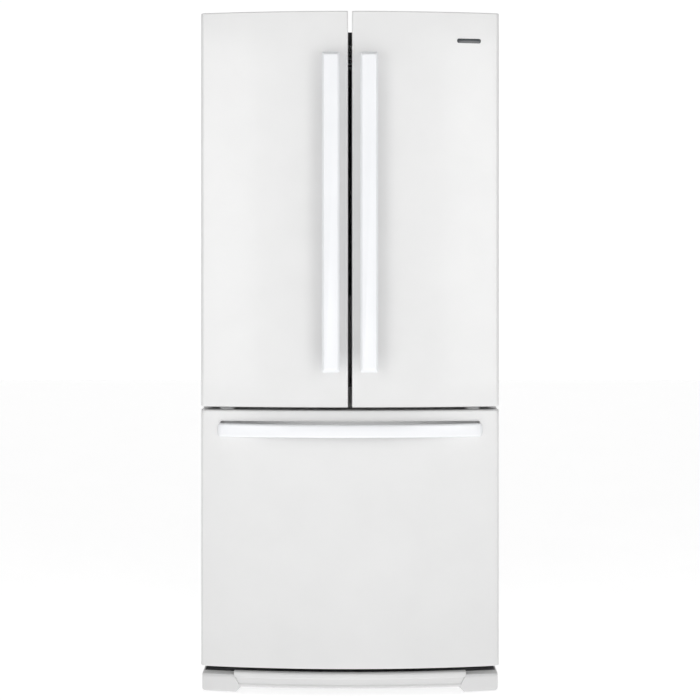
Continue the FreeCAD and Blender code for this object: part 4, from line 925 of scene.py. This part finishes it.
# ------------------------------------------------------------------ fresh food compartment
def tray_shape(lo, hi, wall, corner, lip, bow=0.0, draft=3 * MM):
    """An open moulded tray: drafted walls, a rolled lip and a bowed front."""
    height = hi.z - lo.z

    def outline(inset, radius, z):
        points = []
        for x, y in dense_rect(lo.x + inset, hi.x - inset, lo.y + inset, hi.y - inset, radius, 10):
            mid, half = (lo.x + hi.x) / 2, (hi.x - lo.x) / 2
            towards = max(0.0, (y - (lo.y + hi.y) / 2) / ((hi.y - lo.y) / 2))
            y -= bow * towards * ((x - mid) / half) ** 2
            points.append((x, y, z))
        return points

    levels = [(draft + 5 * MM, 0.0), (draft + 1.5 * MM, 0.6 * MM), (draft, 3 * MM)]
    levels += [(draft * 0.5, height * 0.5), (lip, height - 9 * MM), (lip, height - 7 * MM)]
    levels += [(0.0, height - 5.5 * MM), (0.0, height - 1.2 * MM), (0.9 * MM, height)]
    rings = [outline(i, max(corner - i / 2, 2 * MM), lo.z + h) for i, h in levels]
    inside = [(wall + lip * 0.2, height), (wall + lip, height - 1.5 * MM), (wall + draft * 0.6, height * 0.5)]
    inside += [(wall + draft, 6 * MM), (wall + draft + 1.5 * MM, wall + 1.2 * MM)]
    inside += [(wall + draft + 5 * MM, wall)]
    rings += [outline(i, max(corner - i / 2, 2 * MM), lo.z + h) for i, h in inside]
    return Shape().loft(rings)


def bin_shape(level):
    lo, hi = BINS[level]
    shape = tray_shape(lo, hi, 2.5 * MM, 12 * MM, 1.2 * MM, bow=5 * MM, draft=1.6 * MM)
    x0, x1 = RIDGE[0] + 16 * MM, RIDGE[1] - 16 * MM
    reach = 7.5 * MM
    for sign, wall_x in ((1, x0), (-1, x1)):
        near_x, far_x = wall_x + sign * 1.5 * MM, wall_x + sign * (1.5 * MM + reach)
        a, b = sorted((near_x + sign * 4.2 * MM, far_x))
        shape.block(a, b, -283 * MM, -257 * MM, lo.z + 3 * MM, lo.z + 82 * MM)
        c, d = sorted((near_x, near_x + sign * 4.2 * MM))
        shape.block(c, d, -283 * MM, -279 * MM, lo.z + 3 * MM, lo.z + 82 * MM)
        shape.block(c, d, -261 * MM, -257 * MM, lo.z + 3 * MM, lo.z + 82 * MM)
        shape.block(c, d, -279 * MM, -261 * MM, lo.z + 70.4 * MM, lo.z + 82 * MM)
    return shape


def make_bins():
    for level in BINS:
        left = bin_shape(level)
        for side, shape in (("left", left), ("right", left.mirrored())):
            node = "%s_%s_bin" % (side, level)
            shape.piece(node + "_clear", node, "clear_plastic", replaces=[node], angle=35, soft_edge=0.5 * MM)


def make_crispers():
    lo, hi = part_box("left_crisper")
    front = lo.y + 5 * MM
    body_low = Vector((lo.x, front + 3 * MM, lo.z))
    body_high = Vector((hi.x, hi.y, hi.z))
    tray = tray_shape(body_low, body_high, 2.5 * MM, 10 * MM, 2.0 * MM, draft=4 * MM)
    grip = Shape()
    rings = []
    for inset, y in ((1.4, -4.6), (0.4, -4.0), (0.0, -3.0), (0.0, 3.6)):
        outline = round_rect(lo.x + (10 + inset) * MM, hi.x - (10 + inset) * MM, hi.z - 22 * MM + inset * MM,
                             hi.z - 1 * MM - inset * MM, 6 * MM)
        rings.append([(a, front + y * MM, b) for a, b in outline])
    grip.loft(rings)
    for side in ("left", "right"):
        node = side + "_crisper"
        a = tray if side == "left" else tray.mirrored()
        b = grip if side == "left" else grip.mirrored()
        a.piece(node + "_tray", node, "clear_plastic", replaces=[node], angle=35, soft_edge=0.5 * MM)
        b.piece(node + "_grip", node, "white_liner", angle=35)


def make_control_panel():
    """Dark touch panel on the control housing, with five blank keys and their lamps."""
    top = high("control_housing").z
    slope_low = Vector((0, -168 * MM, top - 40 * MM))
    slope_high = Vector((0, -190 * MM, top - 12 * MM))
    up = (slope_high - slope_low).normalized()
    out = Vector((0, -up.z, up.y))
    middle = (slope_low + slope_high) / 2

    def plate(shape, x0, x1, half_height, thick, centre=0.0):
        rings = []
        for inset, t in ((0.0, -0.3 * MM), (0.0, thick * 0.6), (0.3 * MM, thick)):
            b0, b1 = centre - half_height + inset, centre + half_height - inset
            outline = round_rect(x0 + inset, x1 - inset, b0, b1, min(3 * MM, half_height * 0.8))
            rings.append([Vector((a, 0, 0)) + middle + up * b + out * t for a, b in outline])
        shape.loft(rings)

    panel = Shape()
    plate(panel, -96 * MM, 96 * MM, 10 * MM, 0.8 * MM)
    panel.piece("control_panel", "cabinet", "grey_trim", material="dark_panel", angle=50)
    keys = Shape()
    for x in spaced(-72 * MM, 72 * MM, 4):
        plate(keys, x - 9 * MM, x + 9 * MM, 3.4 * MM, 1.2 * MM, -2.5 * MM)
        plate(keys, x - 1.2 * MM, x + 1.2 * MM, 1.2 * MM, 1.1 * MM, 5 * MM)
    keys.piece("control_keys", "cabinet", "white_liner", angle=50)


# ------------------------------------------------------------------ freezer baskets
def wire_basket(lo, hi, rim_out, corner, pitch, rim_r, wire_r):
    """A welded wire basket: a thick rim, hoops, and U wires both ways under the floor."""
    shape = Shape()
    x0, x1, y0, y1 = lo.x, hi.x, lo.y, hi.y
    top = hi.z - rim_r
    rim = [(a, b, top) for a, b in round_rect(x0, x1, y0, y1, corner, 6)]
    wire(shape, rim, rim_r, closed=True, sides=12)
    bx0, bx1, by0, by1 = x0 + rim_out, x1 - rim_out, y0 + rim_out, y1 - rim_out
    for share in (0.34, 0.68):
        z = lo.z + (top - lo.z) * share
        outline = round_rect(bx0 - wire_r, bx1 + wire_r, by0 - wire_r, by1 + wire_r, corner, 6)
        wire(shape, [(a, b, z) for a, b in outline], wire_r * 1.15, closed=True, sides=8)
    floor = lo.z + wire_r
    bend = 14 * MM
    lean = rim_out * 0.8
    count_x = int((bx1 - bx0 - 2 * corner) / pitch)
    for x in spaced(bx0 + corner, bx1 - corner, count_x):
        run = [(x, by0 - lean, top), (x, by0, floor), (x, by1, floor), (x, by1 + lean, top)]
        wire(shape, bent(run, bend), wire_r, sides=8)
    over = floor + 2 * wire_r  # the wires across lie on those along the depth
    count_y = int((by1 - by0 - 2 * corner) / pitch)
    for y in spaced(by0 + corner, by1 - corner, count_y):
        run = [(bx0 - lean, y, top), (bx0, y, over), (bx1, y, over), (bx1 + lean, y, top)]
        wire(shape, bent(run, bend), wire_r, sides=8)
    return shape


def make_baskets():
    lo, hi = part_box("lower_basket")
    rim = 3 * MM
    small = Vector((rim, rim, 0))
    shape = wire_basket(lo + small, hi - small, 9 * MM, 22 * MM, 26 * MM, rim, 1.7 * MM)
    shape.piece("lower_wire_basket", "lower_basket", "basket_wire", replaces=["lower_basket"], angle=60)
    lo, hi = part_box("upper_basket")
    margin = Vector((20 * MM + rim, rim, 0))
    shape = wire_basket(lo + margin, hi - margin, 6 * MM, 18 * MM, 26 * MM, rim, 1.7 * MM)
    rail_z = lo.z + 10.3 * MM + 2.4 * MM
    front, back = -196 * MM, 258 * MM
    for side in (-1, 1):
        inner, outer = side * 299 * MM, side * 315 * MM
        rail = [(inner, front, rail_z), (outer, front, rail_z), (outer, back, rail_z), (inner, back, rail_z)]
        wire(shape, bent(rail, 6 * MM), 2.2 * MM, sides=8)
    shape.piece("upper_wire_basket", "upper_basket", "basket_wire", replaces=["upper_basket"], angle=60)


# ------------------------------------------------------------------ studio
CAMERA_PLACE = (0.0, -3.1485, 1.0307)
CAMERA_SENSOR = 36.0
CAMERA_LENS = 57.31
CAMERA_SHIFT_Y = -0.0918


def make_camera():
    camera = bpy.data.objects.new("camera", bpy.data.cameras.new("camera"))
    bpy.context.scene.collection.objects.link(camera)
    camera.location = CAMERA_PLACE
    camera.rotation_euler = (math.radians(90), 0, 0)
    camera.data.sensor_width = CAMERA_SENSOR
    camera.data.lens = CAMERA_LENS
    camera.data.shift_x = 0.0
    camera.data.shift_y = CAMERA_SHIFT_Y
    bpy.context.scene.camera = camera


def area_light(name, place, target, size, power):
    light = bpy.data.lights.new(name, "AREA")
    light.shape = "RECTANGLE"
    light.size, light.size_y = size
    light.energy = power
    lamp = bpy.data.objects.new(name, light)
    lamp.location = place
    aim = Vector(target) - Vector(place)
    lamp.rotation_euler = aim.to_track_quat("-Z", "Y").to_euler()
    bpy.context.scene.collection.objects.link(lamp)


# (how far to the back the direction points, from 0 to 1, and brightness)
SURROUNDINGS = ((0.12, 0.46), (0.30, 0.10), (0.75, 0.12), (0.95, 1.02))


def make_world():
    """White surroundings: bright behind, half as bright in front, and dim at the sides and above."""
    world = bpy.data.worlds.new("studio")
    world.use_nodes = True
    bpy.context.scene.world = world
    tree = world.node_tree
    direction = tree.nodes.new("ShaderNodeTexCoord").outputs["Generated"]
    split = tree.nodes.new("ShaderNodeSeparateXYZ")
    tree.links.new(direction, split.inputs[0])
    backward = tree.nodes.new("ShaderNodeMapRange")
    backward.inputs["From Min"].default_value = -1.0
    tree.links.new(split.outputs["Y"], backward.inputs["Value"])
    ramp = tree.nodes.new("ShaderNodeValToRGB")
    stops = ramp.color_ramp
    stops.interpolation = "EASE"
    while len(stops.elements) < len(SURROUNDINGS):
        stops.elements.new(0.5)
    for element, (position, tone) in zip(stops.elements, SURROUNDINGS):
        element.position = position
        element.color = (tone, tone, tone, 1.0)
    tree.links.new(backward.outputs[0], ramp.inputs[0])
    background = tree.nodes["Background"]
    tree.links.new(ramp.outputs[0], background.inputs["Color"])
    background.inputs["Strength"].default_value = 1.0


GLOW_START, GLOW_END = -1.4, 1.0  # places along the depth
# (how far from the start to the end, from 0 to 1, and how much the floor glows)
FLOOR_GLOW = ((0.05, 1.05), (0.42, 0.80))


def make_floor():
    """White light table that glows, a little more in front of the refrigerator."""
    mesh = bpy.data.meshes.new("floor")
    mesh.from_pydata([(-9, -9, 0), (9, -9, 0), (9, 9, 0), (-9, 9, 0)], [], [(0, 1, 2, 3)])
    floor = bpy.data.objects.new("floor", mesh)
    floor.location.z = -0.5 * MM
    bpy.context.scene.collection.objects.link(floor)
    n = Nodes("studio_floor")
    n.color(n.ramp(n.noise(3.0), [(0.3, 0.48), (0.7, 0.52)]))
    n.roughness(n.ramp(n.noise(20.0), [(0.3, 0.65), (0.7, 0.75)]))
    n.set(Emission_Color=(1.0, 1.0, 1.0, 1.0))
    n.link(n.ramp(n.distance_behind(GLOW_START, GLOW_END), FLOOR_GLOW), n.shader.inputs["Emission Strength"])
    mesh.materials.append(n.material)


SOFTBOX_POWER = 8.6
OVERHEAD_POWER = 8.5
DOORS_Y = -0.37  # where the lights aim


def make_studio():
    make_world()
    make_floor()
    bpy.context.scene.view_settings.view_transform = "Standard"
    for name, side in (("left_softbox", -1), ("right_softbox", 1)):
        area_light(name, (side * 1.15, -2.3, 1.3), (0, DOORS_Y, 1.3), (0.8, 1.6), SOFTBOX_POWER)
    area_light("overhead_softbox", (0, -1.7, 3.0), (0, DOORS_Y, 0.8), (2.2, 1.0), OVERHEAD_POWER)


finish_cad_nodes()
make_camera()
make_studio()
make_doors()
make_grille()
make_painted_gap_shade_baffle()
make_hinge_covers()
make_rear_details()
make_painted_flange_shade()
make_bins()
make_crispers()
make_control_panel()
make_baskets()
